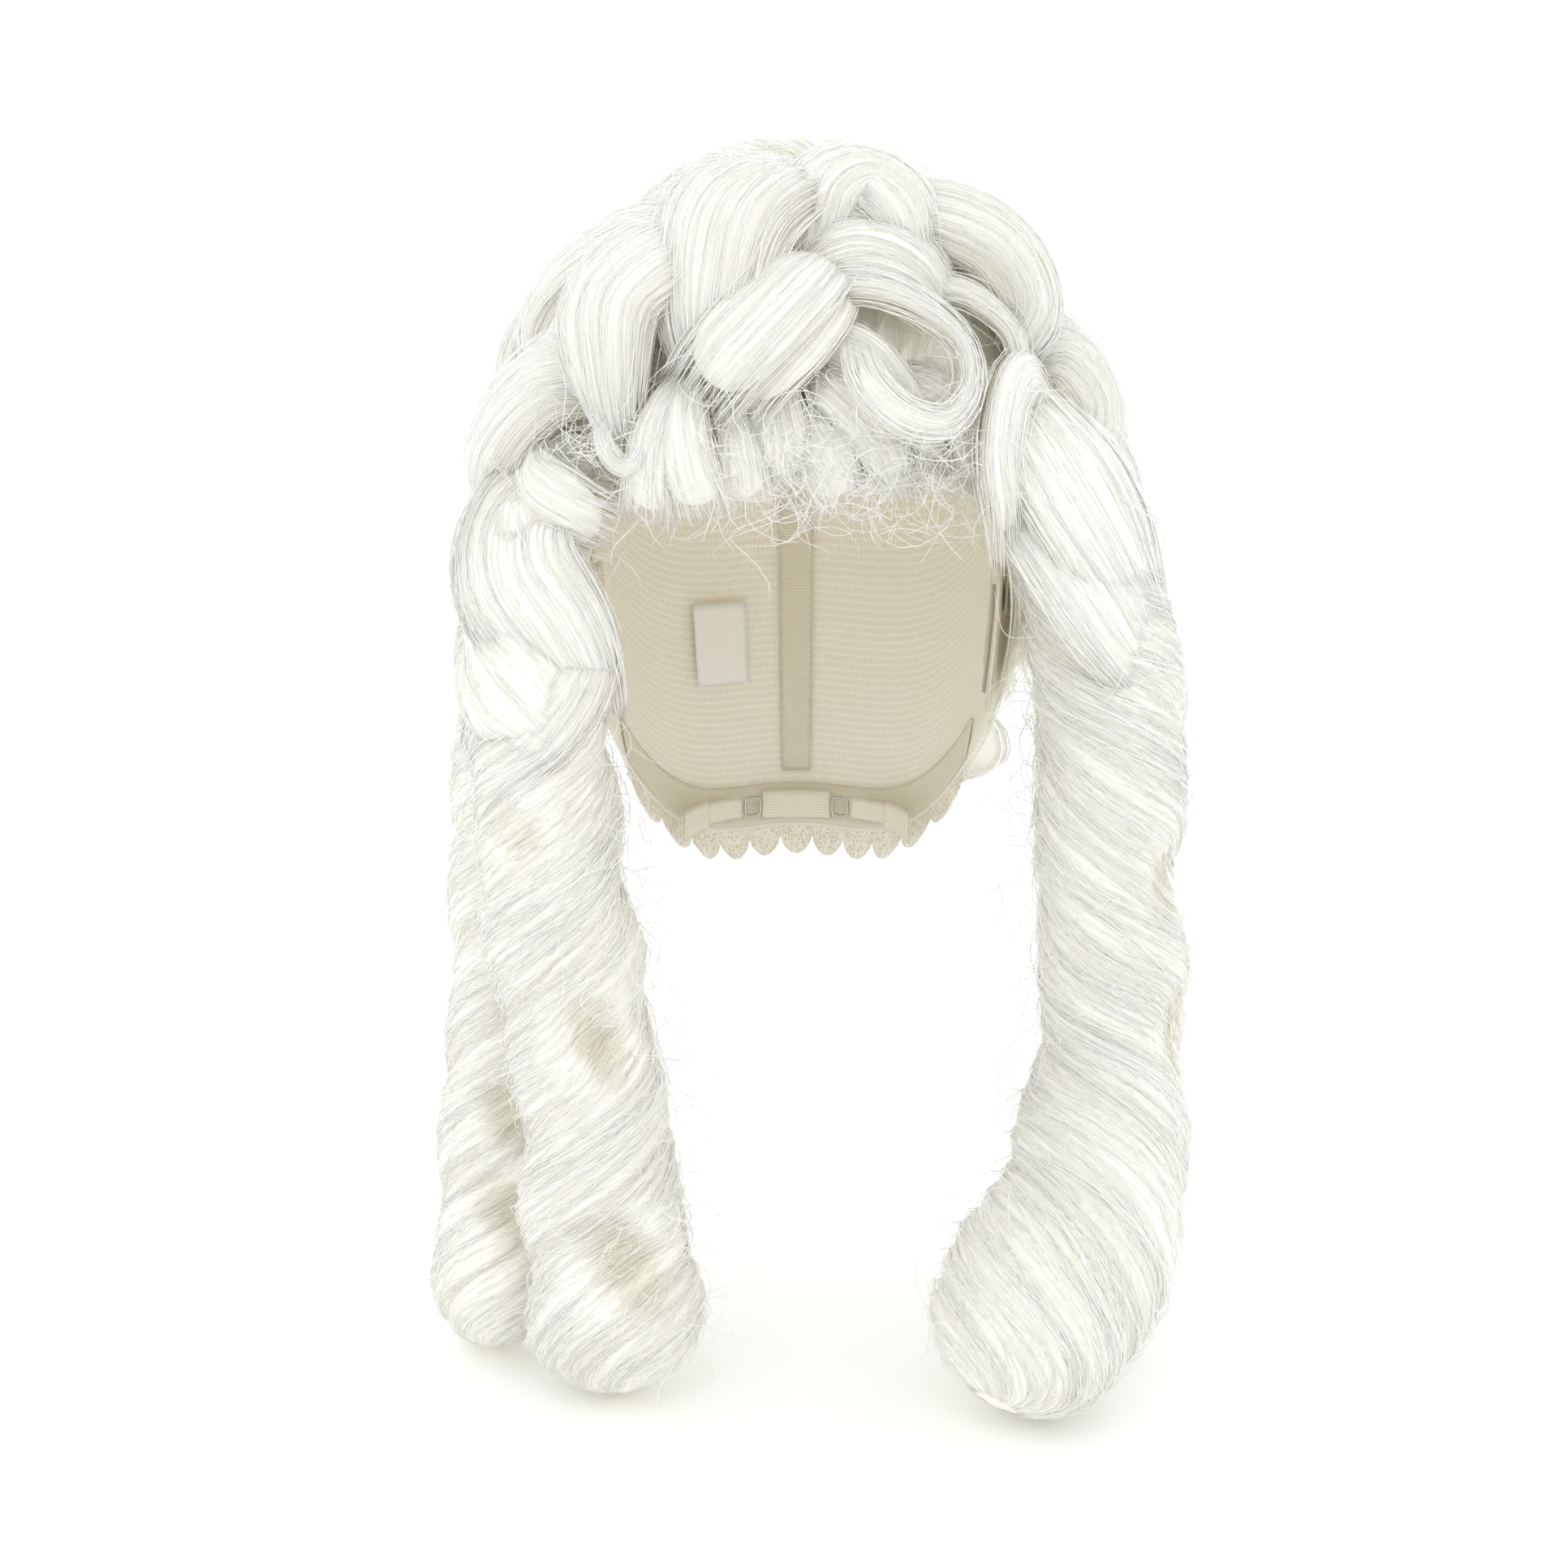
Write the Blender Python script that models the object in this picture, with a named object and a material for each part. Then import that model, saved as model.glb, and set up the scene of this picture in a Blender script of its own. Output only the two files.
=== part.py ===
"""Full-bottomed costume wig: a machine-sewn cap, its rows of curls and four hanging ringlets.

Frame: metres, +Z up, the wearer faces -Y. The origin is the middle of the cap's head opening.
Places on the cap are given as azimuth (degrees from the face towards +X), elevation (degrees
above the dome's widest level) and lift (millimetres proud of the head).
"""

import math

import bmesh
import bpy
from mathutils import Vector
from mathutils.geometry import interpolate_bezier

MM = 0.001

# The head that the cap fits: half width, half depth, and its reach above and below the widest level.
HEAD_HALF_WIDTH = 0.076
HEAD_HALF_DEPTH = 0.095
HEAD_UP = 0.104
HEAD_DOWN = 0.190
HEAD_LEVEL = 0.045

# The cap's rim as a wave round the head: flat over the brow, steep behind the ears, low at the nape.
RIM_MEAN = -0.0055
RIM_FRONT_TO_NAPE = 0.086
RIM_FLATTEN = -0.012

COLUMN_STEP = 10
NET_LIFT = 0.0
NET_THICKNESS = 0.0009
LINING_LIFT = -0.0017
RIBBON_LIFT = -0.0022
RIBBON_HALF_WIDTH = 5.0
RIBBON_END_GAP = 1.0
TAB_LIFT = -0.0042
TRIM_THICKNESS = 0.0009
BAND_HEIGHT = 0.016
CROWN_PANEL_EDGE = 62.0
EAR_AZIMUTH = 88.0
TAB_HALF_WIDTH = 14.0
TAB_TIP_Z = -0.022
TAB_TOP_Z = 0.030
TAB_ROUNDING = 0.016
STAY_INSET = 0.006

# Weft tracks: elevation, and how far each reaches round to either side from the back.
WEFTS = ((50.0, 160.0), (36.0, 160.0), (22.0, 98.0), (8.0, 98.0))
WEFT_LIFT = 0.0026
WEFT_RADIUS = 0.0009

LACE_SCALLOPS = 11
LACE_STEPS = 5
LACE_REACH = 68.0
LACE_GAP = 0.0022
LACE_DROP = 0.0075
LACE_LIFT = 0.0006
LACE_RADIUS = 0.0009

# The nape adjusters run on an arc inside the nape band.
NAPE_ARC_CENTER_Y = 0.0252
NAPE_TAPE_RADIUS = 0.0446
STRAP_RADIUS = 0.0428
CASING_RADIUS = 0.0411
STRAP_Z = (-0.0745, -0.0665)
CASING_Z = (-0.0760, -0.0650)
TAPE_HALF_ANGLE = 17.0
HOOK_ANGLE = 23.0
HOOK_HALF_ANGLE = 4.2
HOOK_HALF_HEIGHT = 0.0036
HOOK_WIRE_RADIUS = 0.0006
HOOK_POINTS = 12
STRAP_ANGLES = (29.0, 78.0)
CASING_ANGLES = (54.0, 82.0)

LABEL_AZIMUTHS = (196.0, 214.0)
LABEL_ELEVATIONS = (-22.0, -12.0)

# The ringlets' roots end a little above the hinges that the ringlets swing on.
HINGE_Z = -0.030
ROOT_TOP_Z = 0.040
ROOT_GAP = 0.0015

HAIR = (0.90, 0.89, 0.80, 1.0)
NET = (0.86, 0.84, 0.74, 1.0)
ELASTIC = (0.82, 0.80, 0.72, 1.0)
METAL = (0.62, 0.62, 0.60, 1.0)
LABEL = (0.95, 0.95, 0.93, 1.0)


def clear_scene():
    for item in list(bpy.data.objects):
        bpy.data.objects.remove(item, do_unlink=True)


def material(name, color, roughness, metallic=0.0):
    found = bpy.data.materials.get(name)
    if found:
        return found
    made = bpy.data.materials.new(name)
    made.use_nodes = True
    shader = made.node_tree.nodes["Principled BSDF"]
    shader.inputs["Base Color"].default_value = color
    shader.inputs["Roughness"].default_value = roughness
    shader.inputs["Metallic"].default_value = metallic
    return made


def hair():
    return material("hair", HAIR, 0.45)


def elastic():
    return material("elastic", ELASTIC, 0.85)


def dome_point(azimuth, elevation, lift):
    """A point on the head's surface, pushed out by lift (metres)."""
    turn = math.radians(azimuth)
    rise = math.radians(elevation)
    reach = (HEAD_UP if elevation > 0.0 else HEAD_DOWN) + lift
    across = (HEAD_HALF_WIDTH + lift) * math.cos(rise) * math.sin(turn)
    along = -(HEAD_HALF_DEPTH + lift) * math.cos(rise) * math.cos(turn)
    return Vector((across, along, HEAD_LEVEL + reach * math.sin(rise)))


def elevation_at(height):
    """The elevation whose point on the head stands at this height."""
    reach = HEAD_UP if height > HEAD_LEVEL else HEAD_DOWN
    return math.degrees(math.asin(max(-1.0, min(1.0, (height - HEAD_LEVEL) / reach))))


def rim_height(azimuth):
    turn = math.radians(azimuth)
    return RIM_MEAN + RIM_FRONT_TO_NAPE * math.cos(turn) + RIM_FLATTEN * math.cos(3.0 * turn)


def rim_elevation(azimuth):
    return elevation_at(rim_height(azimuth))


def band_elevation(azimuth):
    return elevation_at(rim_height(azimuth) + BAND_HEIGHT)


def net_rows(azimuth):
    """The elevations of the net's rows at one azimuth: rim, band edge, then up to the crown panel."""
    low = rim_elevation(azimuth)
    band = band_elevation(azimuth)
    rows = [low, band]
    for step in range(1, 5):
        rows.append(band + (CROWN_PANEL_EDGE - 5.0 - band) * step / 5.0)
    return rows + [CROWN_PANEL_EDGE - 5.0, CROWN_PANEL_EDGE + 4.0, 76.0]


def smooth_path(guides, steps):
    """Points on a smooth curve through the guide points, with steps on each stretch."""
    points = [Vector(guides[0])]
    for index in range(len(guides) - 1):
        before = Vector(guides[max(index - 1, 0)])
        start = Vector(guides[index])
        end = Vector(guides[index + 1])
        after = Vector(guides[min(index + 2, len(guides) - 1)])
        handle_out = start + (end - before) / 6.0
        handle_in = end - (after - start) / 6.0
        points += interpolate_bezier(start, handle_out, handle_in, end, steps + 1)[1:]
    return points


def add_mesh(name, bm, look, smooth=True):
    mesh = bpy.data.meshes.new(name)
    bm.to_mesh(mesh)
    bm.free()
    if smooth:
        mesh.shade_smooth()
    mesh.materials.append(look)
    made = bpy.data.objects.new(name, mesh)
    bpy.context.scene.collection.objects.link(made)
    return made


def add_solidify(made, thickness):
    wall = made.modifiers.new("wall", "SOLIDIFY")
    wall.thickness = thickness
    wall.offset = 1.0
    wall.use_even_offset = True
    wall.use_quality_normals = True
    return made


def extrude_row(bm, row, edges, points):
    """Extrude the last row of a sheet and move the new row onto the points."""
    made = bmesh.ops.extrude_edge_only(bm, edges=edges)["geom"]
    fresh = {item for item in made if isinstance(item, bmesh.types.BMVert)}
    above = []
    for vert, point in zip(row, points):
        partner = next(edge.other_vert(vert) for edge in vert.link_edges if edge.other_vert(vert) in fresh)
        partner.co = point
        above.append(partner)
    return above, [item for item in made if isinstance(item, bmesh.types.BMEdge)]


def add_wall(name, rows, look, thickness, closed=False, cap_top=False):
    """A sheet through rows of points, each row the last one extruded, then given its thickness."""
    bm = bmesh.new()
    row = [bm.verts.new(point) for point in rows[0]]
    edges = [bm.edges.new(pair) for pair in zip(row, row[1:])]
    if closed:
        edges.append(bm.edges.new((row[-1], row[0])))
    for points in rows[1:]:
        row, edges = extrude_row(bm, row, edges, points)
    if cap_top:
        bmesh.ops.contextual_create(bm, geom=row)
        top = max(bm.faces, key=lambda face: len(face.verts))
        bmesh.ops.poke(bm, faces=[top])
    bmesh.ops.recalc_face_normals(bm, faces=bm.faces)
    if sum(face.normal.dot(face.calc_center_median()) for face in bm.faces) < 0.0:
        bmesh.ops.reverse_faces(bm, faces=bm.faces)
    return add_solidify(add_mesh(name, bm, look), thickness)


def add_patch(name, azimuths, low, high, lift, look, steps=2):
    """A piece of tape lying on the head between two elevations, which may change with azimuth."""
    rows = []
    for step in range(steps + 1):
        part = step / steps
        rows.append([
            dome_point(turn, low(turn) + (high(turn) - low(turn)) * part, lift) for turn in azimuths
        ])
    return add_wall(name, rows, look, TRIM_THICKNESS)


def add_tube(name, points, radii, look, sides_level=2, closed=False):
    """A round lock, cord or wire through the points, with a radius at each."""
    curve = bpy.data.curves.new(name, "CURVE")
    curve.dimensions = "3D"
    thickest = max(radii)
    curve.bevel_depth = thickest
    curve.bevel_resolution = sides_level
    curve.use_fill_caps = not closed
    spline = curve.splines.new("POLY")
    spline.points.add(len(points) - 1)
    for place, point, radius in zip(spline.points, points, radii):
        place.co = (point[0], point[1], point[2], 1.0)
        place.radius = radius / thickest
    spline.use_cyclic_u = closed
    curve.materials.append(look)
    made = bpy.data.objects.new(name, curve)
    bpy.context.scene.collection.objects.link(made)
    return made


def turns(start, end, step=COLUMN_STEP):
    """Azimuths from start to end in even steps near the given one."""
    count = max(2, round(abs(end - start) / step))
    return [start + (end - start) * index / count for index in range(count + 1)]


def add_cap_net():
    columns = turns(0.0, 360.0)[:-1]
    count = len(net_rows(0.0))
    rows = [[dome_point(turn, net_rows(turn)[row], NET_LIFT) for turn in columns] for row in range(count)]
    add_wall("cap_net", rows, material("net", NET, 0.9), NET_THICKNESS, closed=True, cap_top=True)


def add_crown_panel():
    """The closed lace piece under the parting, sewn inside the top of the cap."""
    columns = turns(0.0, 360.0)[:-1]
    rises = (CROWN_PANEL_EDGE, 66.0, 76.0)
    rows = [[dome_point(turn, rise, LINING_LIFT) for turn in columns] for rise in rises]
    panel = material("lining", NET, 0.8)
    add_wall("crown_panel", rows, panel, TRIM_THICKNESS, closed=True, cap_top=True)


def add_bands():
    def low(turn):
        return elevation_at(rim_height(turn) + 0.0005)

    def high(turn):
        return elevation_at(rim_height(turn) + BAND_HEIGHT - 0.0005)

    add_patch("front_band", turns(-70.0, 70.0), low, high, LINING_LIFT, elastic(), 1)
    add_patch("nape_band", turns(110.0, 250.0), low, high, LINING_LIFT, elastic(), 1)


def add_ear_tab(name, side):
    """The soft flap before the ear, with the springy stay that holds it to the temple."""
    center = side * EAR_AZIMUTH

    def low(turn):
        return elevation_at(TAB_TIP_Z + TAB_ROUNDING * ((turn - center) / TAB_HALF_WIDTH) ** 2)

    def high(turn):
        return elevation_at(TAB_TOP_Z)

    across = turns(center - TAB_HALF_WIDTH, center + TAB_HALF_WIDTH, TAB_HALF_WIDTH / 2.0)
    add_patch("ear_tab_" + name, across, low, high, TAB_LIFT, elastic(), 1)
    stay_length = TAB_TOP_Z - TAB_TIP_Z - 2.0 * STAY_INSET
    heights = [TAB_TIP_Z + STAY_INSET + stay_length * index / 3.0 for index in range(4)]
    stay = [dome_point(center, elevation_at(height), TAB_LIFT - 0.0020) for height in heights]
    add_tube("ear_stay_" + name, stay, [0.0007] * len(stay), material("wire", METAL, 0.35, 1.0), 0)


def add_ribbon(name, center):
    """A vertical tape inside the cap that the wefts are sewn to, in the net's own rows."""
    columns = turns(center - RIBBON_HALF_WIDTH, center + RIBBON_HALF_WIDTH, RIBBON_HALF_WIDTH)
    heights = net_rows(center)[1:7]
    heights[0] += RIBBON_END_GAP
    rows = [[dome_point(turn, rise, RIBBON_LIFT) for turn in columns] for rise in heights]
    add_wall("cap_ribbon_" + name, rows, elastic(), TRIM_THICKNESS)


def add_wefts():
    """Sewn tracks round the cap that carry the hair: the high ones nearly meet over the brow."""
    for number, (rise, reach) in enumerate(WEFTS, start=1):
        points = [dome_point(turn, rise, WEFT_LIFT) for turn in turns(180.0 - reach, 180.0 + reach)]
        add_tube("weft_row_%d" % number, points, [WEFT_RADIUS] * len(points), material("weft", NET, 0.7), 0)


def add_nape_lace():
    """Scalloped lace that hangs from the nape edge."""
    points = []
    count = LACE_SCALLOPS * LACE_STEPS
    for index in range(count + 1):
        turn = 180.0 + LACE_REACH * (2.0 * index / count - 1.0)
        drop = LACE_GAP + LACE_DROP * abs(math.sin(math.pi * index / LACE_STEPS))
        points.append(dome_point(turn, elevation_at(rim_height(turn) - drop), LACE_LIFT))
    add_tube("nape_lace", points, [LACE_RADIUS] * len(points), material("lace", NET, 0.8), 0)


def arc_point(angle, radius, height):
    """A point on the nape arc: angle from straight back, positive towards +X."""
    turn = math.radians(angle)
    return Vector((radius * math.sin(turn), NAPE_ARC_CENTER_Y + radius * math.cos(turn), height))


def add_arc_tape(name, angles, radius, heights, look):
    rows = [[arc_point(angle, radius, height) for angle in angles] for height in heights]
    return add_wall(name, rows, look, TRIM_THICKNESS)


def add_adjusters():
    """Each side: a strap with a wire hook that slides round the nape, and the casing it slides in."""
    tape_angles = turns(-TAPE_HALF_ANGLE, TAPE_HALF_ANGLE, 8)
    add_arc_tape("hook_tape", tape_angles, NAPE_TAPE_RADIUS, CASING_Z, elastic())
    pivot = bpy.data.objects.new("nape_pivot", None)
    pivot.location = (0.0, NAPE_ARC_CENTER_Y, 0.0)
    bpy.context.scene.collection.objects.link(pivot)
    for name, side in (("left", -1.0), ("right", 1.0)):
        strap_angles = [side * angle for angle in turns(*STRAP_ANGLES, 8)]
        strap = add_arc_tape("adjuster_strap_" + name, strap_angles, STRAP_RADIUS, STRAP_Z, elastic())
        casing_angles = [side * angle for angle in turns(*CASING_ANGLES, 8)]
        add_arc_tape("strap_casing_" + name, casing_angles, CASING_RADIUS, CASING_Z, elastic())
        hook = add_hook("adjuster_hook_" + name, side)
        for piece in (strap, hook):
            piece.parent = pivot
            piece.matrix_parent_inverse = pivot.matrix_world.inverted()
            piece.location = Vector((0.0, -NAPE_ARC_CENTER_Y, 0.0))


def add_hook(name, side):
    """A closed wire loop with round corners."""
    middle = (STRAP_Z[0] + STRAP_Z[1]) / 2.0
    points = []
    for index in range(HOOK_POINTS):
        turn = 2.0 * math.pi * index / HOOK_POINTS
        across = math.copysign(abs(math.cos(turn)) ** 0.5, math.cos(turn))
        up = math.copysign(abs(math.sin(turn)) ** 0.5, math.sin(turn))
        angle = side * HOOK_ANGLE + HOOK_HALF_ANGLE * across
        points.append(arc_point(angle, STRAP_RADIUS + 0.0003, middle + HOOK_HALF_HEIGHT * up))
    wire = material("wire", METAL, 0.35, 1.0)
    return add_tube(name, points, [HOOK_WIRE_RADIUS] * len(points), wire, 0, closed=True)


def add_care_label():
    """A blank tape sewn inside the back of the cap, beside the middle ribbon."""

    def low(turn):
        return LABEL_ELEVATIONS[0]

    def high(turn):
        return LABEL_ELEVATIONS[1]

    add_patch("care_label", turns(*LABEL_AZIMUTHS, 9), low, high, TAB_LIFT, material("label", LABEL, 0.6), 1)


# The front locks: azimuth, elevation, lift (mm) and radius (mm) of each guide point, root first.
LOCKS = {
    "crown_curl": (
        (-102, 50, 17, 9), (-108, 62, 18, 12), (-122, 74, 19, 12), (180, 81, 19, 12),
        (122, 74, 19, 12), (108, 62, 18, 12), (102, 50, 17, 9),
    ),
    "crown_roll_left": ((-60, 84, 19, 12), (-22, 62, 25, 17), (-17, 50, 25, 17), (-17, 43, 21, 12)),
    "crown_tip_left": ((-4, 37, 18, 5), (-9, 30, 27, 9), (-16, 23, 26, 7)),
    "temple_roll_left_1": ((-66, 61, 17, 11), (-50, 47, 24, 17), (-42, 33, 24, 16), (-38, 23, 19, 9)),
    "temple_roll_left_2": ((-88, 47, 16, 9), (-80, 34, 22, 14), (-70, 21, 24, 14), (-73, 12, 20, 9)),
    "temple_roll_left_3": ((-104, 36, 15, 8), (-101, 26, 20, 12), (-97, 16, 23, 13), (-96, 10, 21, 8)),
    "forelock_left": ((-60, 12, 14, 6), (-52, 8, 15, 7), (-43, 5, 10, 5)),
    "crown_roll_right": ((7, 66, 12, 7), (20, 66, 22, 14), (33, 62, 24, 13), (41, 55, 19, 8)),
    "temple_roll_right_1": ((84, 60, 17, 11), (61, 48, 25, 16), (63, 37, 23, 12), (70, 32, 18, 8)),
    "ring_curl_front": (
        (2, 42, 13, 5), (14, 45, 20, 8), (26, 42, 23, 8), (33, 35, 25, 8),
        (32, 26, 25, 8), (24, 22, 24, 7), (18, 26, 21, 6), (17, 32, 18, 4),
    ),
    "ring_curl_side": ((43, 44, 14, 4), (46, 37, 20, 5), (46, 29, 20, 5), (43, 25, 17, 4)),
    "fringe_lock_right": ((3, 33, 11, 4), (10, 30, 12, 5), (16, 21, 11, 5), (30, 16, 9, 4)),
    "hairline_lock": ((4, 11, 7, 3), (16, 12, 8, 4), (30, 11, 6, 3)),
    "hook_lock_right": ((60, 19, 13, 5), (51, 18, 18, 6), (44, 13, 16, 7), (45, 5, 10, 6)),
    "temple_roll_right_2": ((88, 34, 18, 9), (82, 25, 22, 12), (70, 18, 24, 12), (67, 10, 18, 8)),
    "temple_roll_right_3": ((104, 36, 15, 8), (101, 26, 20, 12), (97, 16, 23, 13), (96, 10, 21, 8)),
}

FRINGE_TUFTS = (
    ((-33, 16, 18, 5), (-31, 11, 20, 6), (-30, 5, 12, 5)),
    ((-21, 17, 18, 4), (-20, 12, 18, 5), (-20, 7, 11, 4)),
    ((-12, 17, 15, 4), (-12, 13, 15, 4), (-12, 9, 9, 3)),
    ((-5, 27, 14, 4), (-4, 20, 14, 4), (-4, 13, 9, 3)),
)

# Rows of barrel curls over the back: height on the dome, how many, and the azimuths they span.
BACK_ROWS = (
    (62.0, 2, 142.0, 218.0),
    (46.0, 4, 112.0, 248.0),
    (31.0, 4, 118.0, 242.0),
    (15.0, 4, 118.0, 242.0),
    (0.0, 4, 116.0, 244.0),
    (-9.0, 4, 116.0, 244.0),
    (-18.0, 4, 116.0, 244.0),
    (-27.0, 3, 130.0, 230.0),
)
BACK_CURL_RADIUS = 0.0145
BACK_CURL_LIFT = 0.0205

# The hanging ringlets (mm): the root's middle at its top, waist and foot as x, y and radius,
# then the route from the hinge down as x, y, z and radius.
RINGLETS = {
    "left_front": {
        "root": ((-84, -73, 22), (-86, -72, 25), (-84, -74, 25)),
        "route": (
            (-84, -74, -30, 24), (-80, -73, -80, 25), (-72, -72, -130, 26), (-66, -78, -180, 27),
            (-62, -88, -212, 29),
        ),
    },
    "left_outer": {
        "root": ((-100, -14, 15), (-100, -18, 21), (-98, -20, 22)),
        "route": (
            (-98, -20, -30, 21), (-100, -22, -80, 22), (-101, -28, -130, 22), (-103, -40, -180, 22),
            (-106, -52, -218, 22),
        ),
    },
    "right_front": {
        "root": ((96, -62, 19), (104, -56, 24), (106, -54, 24)),
        "route": (
            (106, -54, -30, 24), (105, -56, -80, 25), (107, -64, -130, 28), (97, -84, -170, 33),
            (78, -104, -206, 34),
        ),
    },
    "right_outer": {
        "root": ((101, -2, 15), (105, -2, 20), (106, -1, 21)),
        "route": (
            (106, -1, -30, 21), (108, -3, -80, 22), (110, -9, -130, 22), (112, -20, -180, 21),
            (112, -30, -216, 20),
        ),
    },
}

# Angles over which a ringlet's end closes into a dome.
DOME_ANGLES = (0.50, 1.05, 1.45)


def lock_points(guides, steps=3):
    """Places and radii along a lock given by its guide points on the dome."""
    places = [dome_point(turn, rise, lift * MM) for turn, rise, lift, radius in guides]
    widths = [Vector((radius * MM, 0.0, 0.0)) for turn, rise, lift, radius in guides]
    return smooth_path(places, steps), [width.x for width in smooth_path(widths, steps)]


def add_lock(name, guides):
    points, radii = lock_points(guides)
    ends = rounded_ends(points, radii)
    return add_tube(name, ends[0], ends[1], hair())


def rounded_ends(points, radii):
    """The same route with a smaller ring beyond each end, so that the lock ends in a dome."""
    first = points[0] + (points[0] - points[1]).normalized() * radii[0] * 0.6
    last = points[-1] + (points[-1] - points[-2]).normalized() * radii[-1] * 0.6
    return [first] + list(points) + [last], [radii[0] * 0.6] + list(radii) + [radii[-1] * 0.6]


def add_fringe_tufts():
    for number, guides in enumerate(FRINGE_TUFTS, start=1):
        add_lock("fringe_tuft_%d" % number, guides)


def add_back_rows():
    """Each row is one weft of barrel curls that touch at their ends, pinched in between them."""
    profile = ((0.0, 0.5), (0.14, 1.0), (0.5, 1.0), (0.86, 1.0))
    for number, (rise, count, start, end) in enumerate(BACK_ROWS, start=1):
        each = (end - start) / count
        points = []
        radii = []
        for index in range(count):
            for part, width in profile:
                points.append(dome_point(start + each * (index + part), rise, BACK_CURL_LIFT))
                radii.append(BACK_CURL_RADIUS * width)
        points.append(dome_point(end, rise, BACK_CURL_LIFT))
        radii.append(BACK_CURL_RADIUS * profile[0][1])
        add_tube("back_curl_row_%d" % number, points, radii, hair())


def add_ringlet(name, shape):
    """A ringlet in two solids: the fixed root on the cap, and the part that swings below it."""
    points = smooth_path([Vector(point[:3]) * MM for point in shape["route"]], 2)
    widths = smooth_path([Vector((point[3] * MM, 0.0, 0.0)) for point in shape["route"]], 2)
    radii = [width.x for width in widths]
    hinge = points[0]
    up = Vector((0.0, 0.0, radii[0]))
    down = (points[-1] - points[-2]).normalized() * radii[-1]
    top = [(hinge + up * math.sin(angle), radii[0] * math.cos(angle)) for angle in reversed(DOME_ANGLES)]
    foot = [(points[-1] + down * math.sin(angle), radii[-1] * math.cos(angle)) for angle in DOME_ANGLES]
    rings = top + list(zip(points, radii)) + foot
    places = [point - hinge for point, radius in rings]
    swinging = add_tube("ringlet_" + name, places, [radius for point, radius in rings], hair(), 3)
    swinging.location = hinge
    foot_z = HINGE_Z + radii[0] + ROOT_GAP
    heights = (ROOT_TOP_Z, (ROOT_TOP_Z + foot_z) / 2.0, foot_z)
    root = [Vector((x * MM, y * MM, z)) for (x, y, radius), z in zip(shape["root"], heights)]
    root_radii = [radius * MM for x, y, radius in shape["root"]]
    shoulder = root[0] + Vector((0.0, 0.0, root_radii[0] * 0.5))
    root_rings = [root_radii[0] * 0.6] + root_radii
    add_tube("ringlet_root_" + name, [shoulder] + root, root_rings, hair(), 3)


def build():
    clear_scene()
    add_cap_net()
    add_crown_panel()
    add_bands()
    for name, side in (("left", -1.0), ("right", 1.0)):
        add_ear_tab(name, side)
    for name, center in (("left", -90.0), ("right", 90.0), ("back", 180.0)):
        add_ribbon(name, center)
    add_wefts()
    add_nape_lace()
    add_adjusters()
    add_care_label()
    for name, guides in LOCKS.items():
        add_lock(name, guides)
    add_fringe_tufts()
    add_back_rows()
    for name, shape in RINGLETS.items():
        add_ringlet(name, shape)


build()
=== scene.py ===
"""Looks for the full-bottomed costume wig: combed locks, four hanging ringlets, curls and the sewn cap.

Every lock is a bed of fibre, a closed skin with clump furrows, with single fibres laid over it.
Places on the head are azimuth (degrees from the face towards +X), elevation (degrees above the
dome's widest level) and lift (millimetres proud of the head). The guide tables are in millimetres
where they say so, and everything else is in metres.
"""

import math
import zlib

import bmesh
import bpy
import numpy as np
from bpy.props import FloatProperty, FloatVectorProperty, IntProperty, PointerProperty
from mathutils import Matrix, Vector


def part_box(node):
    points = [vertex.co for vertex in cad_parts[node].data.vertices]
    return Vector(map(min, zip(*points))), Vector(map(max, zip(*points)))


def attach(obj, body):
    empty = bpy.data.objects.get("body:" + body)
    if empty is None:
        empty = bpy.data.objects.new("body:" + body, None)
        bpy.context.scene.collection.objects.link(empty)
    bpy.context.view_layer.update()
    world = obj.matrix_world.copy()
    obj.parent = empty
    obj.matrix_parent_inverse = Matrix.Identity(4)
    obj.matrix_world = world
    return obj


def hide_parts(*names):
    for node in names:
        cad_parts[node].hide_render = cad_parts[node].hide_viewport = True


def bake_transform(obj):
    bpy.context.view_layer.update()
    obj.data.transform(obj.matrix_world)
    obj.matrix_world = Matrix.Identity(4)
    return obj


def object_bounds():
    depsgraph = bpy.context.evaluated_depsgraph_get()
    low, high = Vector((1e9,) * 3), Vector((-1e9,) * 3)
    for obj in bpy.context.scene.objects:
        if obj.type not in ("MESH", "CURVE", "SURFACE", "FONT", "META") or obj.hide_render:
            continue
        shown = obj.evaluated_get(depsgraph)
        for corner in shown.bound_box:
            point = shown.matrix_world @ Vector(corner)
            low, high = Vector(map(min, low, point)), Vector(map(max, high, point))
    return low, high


bl_info = {
    "name": "Costume wig looks",
    "version": (1, 0, 0),
    "blender": (4, 5, 0),
    "location": "3D View > Sidebar > Wig",
    "description": "Builds the locks, ringlets, cap and stage of a full-bottomed costume wig",
    "category": "Object",
}

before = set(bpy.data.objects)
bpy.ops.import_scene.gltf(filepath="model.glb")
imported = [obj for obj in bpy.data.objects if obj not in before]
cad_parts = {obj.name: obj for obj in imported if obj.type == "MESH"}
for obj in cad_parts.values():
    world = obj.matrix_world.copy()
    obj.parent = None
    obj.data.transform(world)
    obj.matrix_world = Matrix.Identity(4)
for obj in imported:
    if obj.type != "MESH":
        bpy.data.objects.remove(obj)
CAD_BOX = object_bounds()

MM = 0.001
FULL_TURN = 2.0 * math.pi

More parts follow.
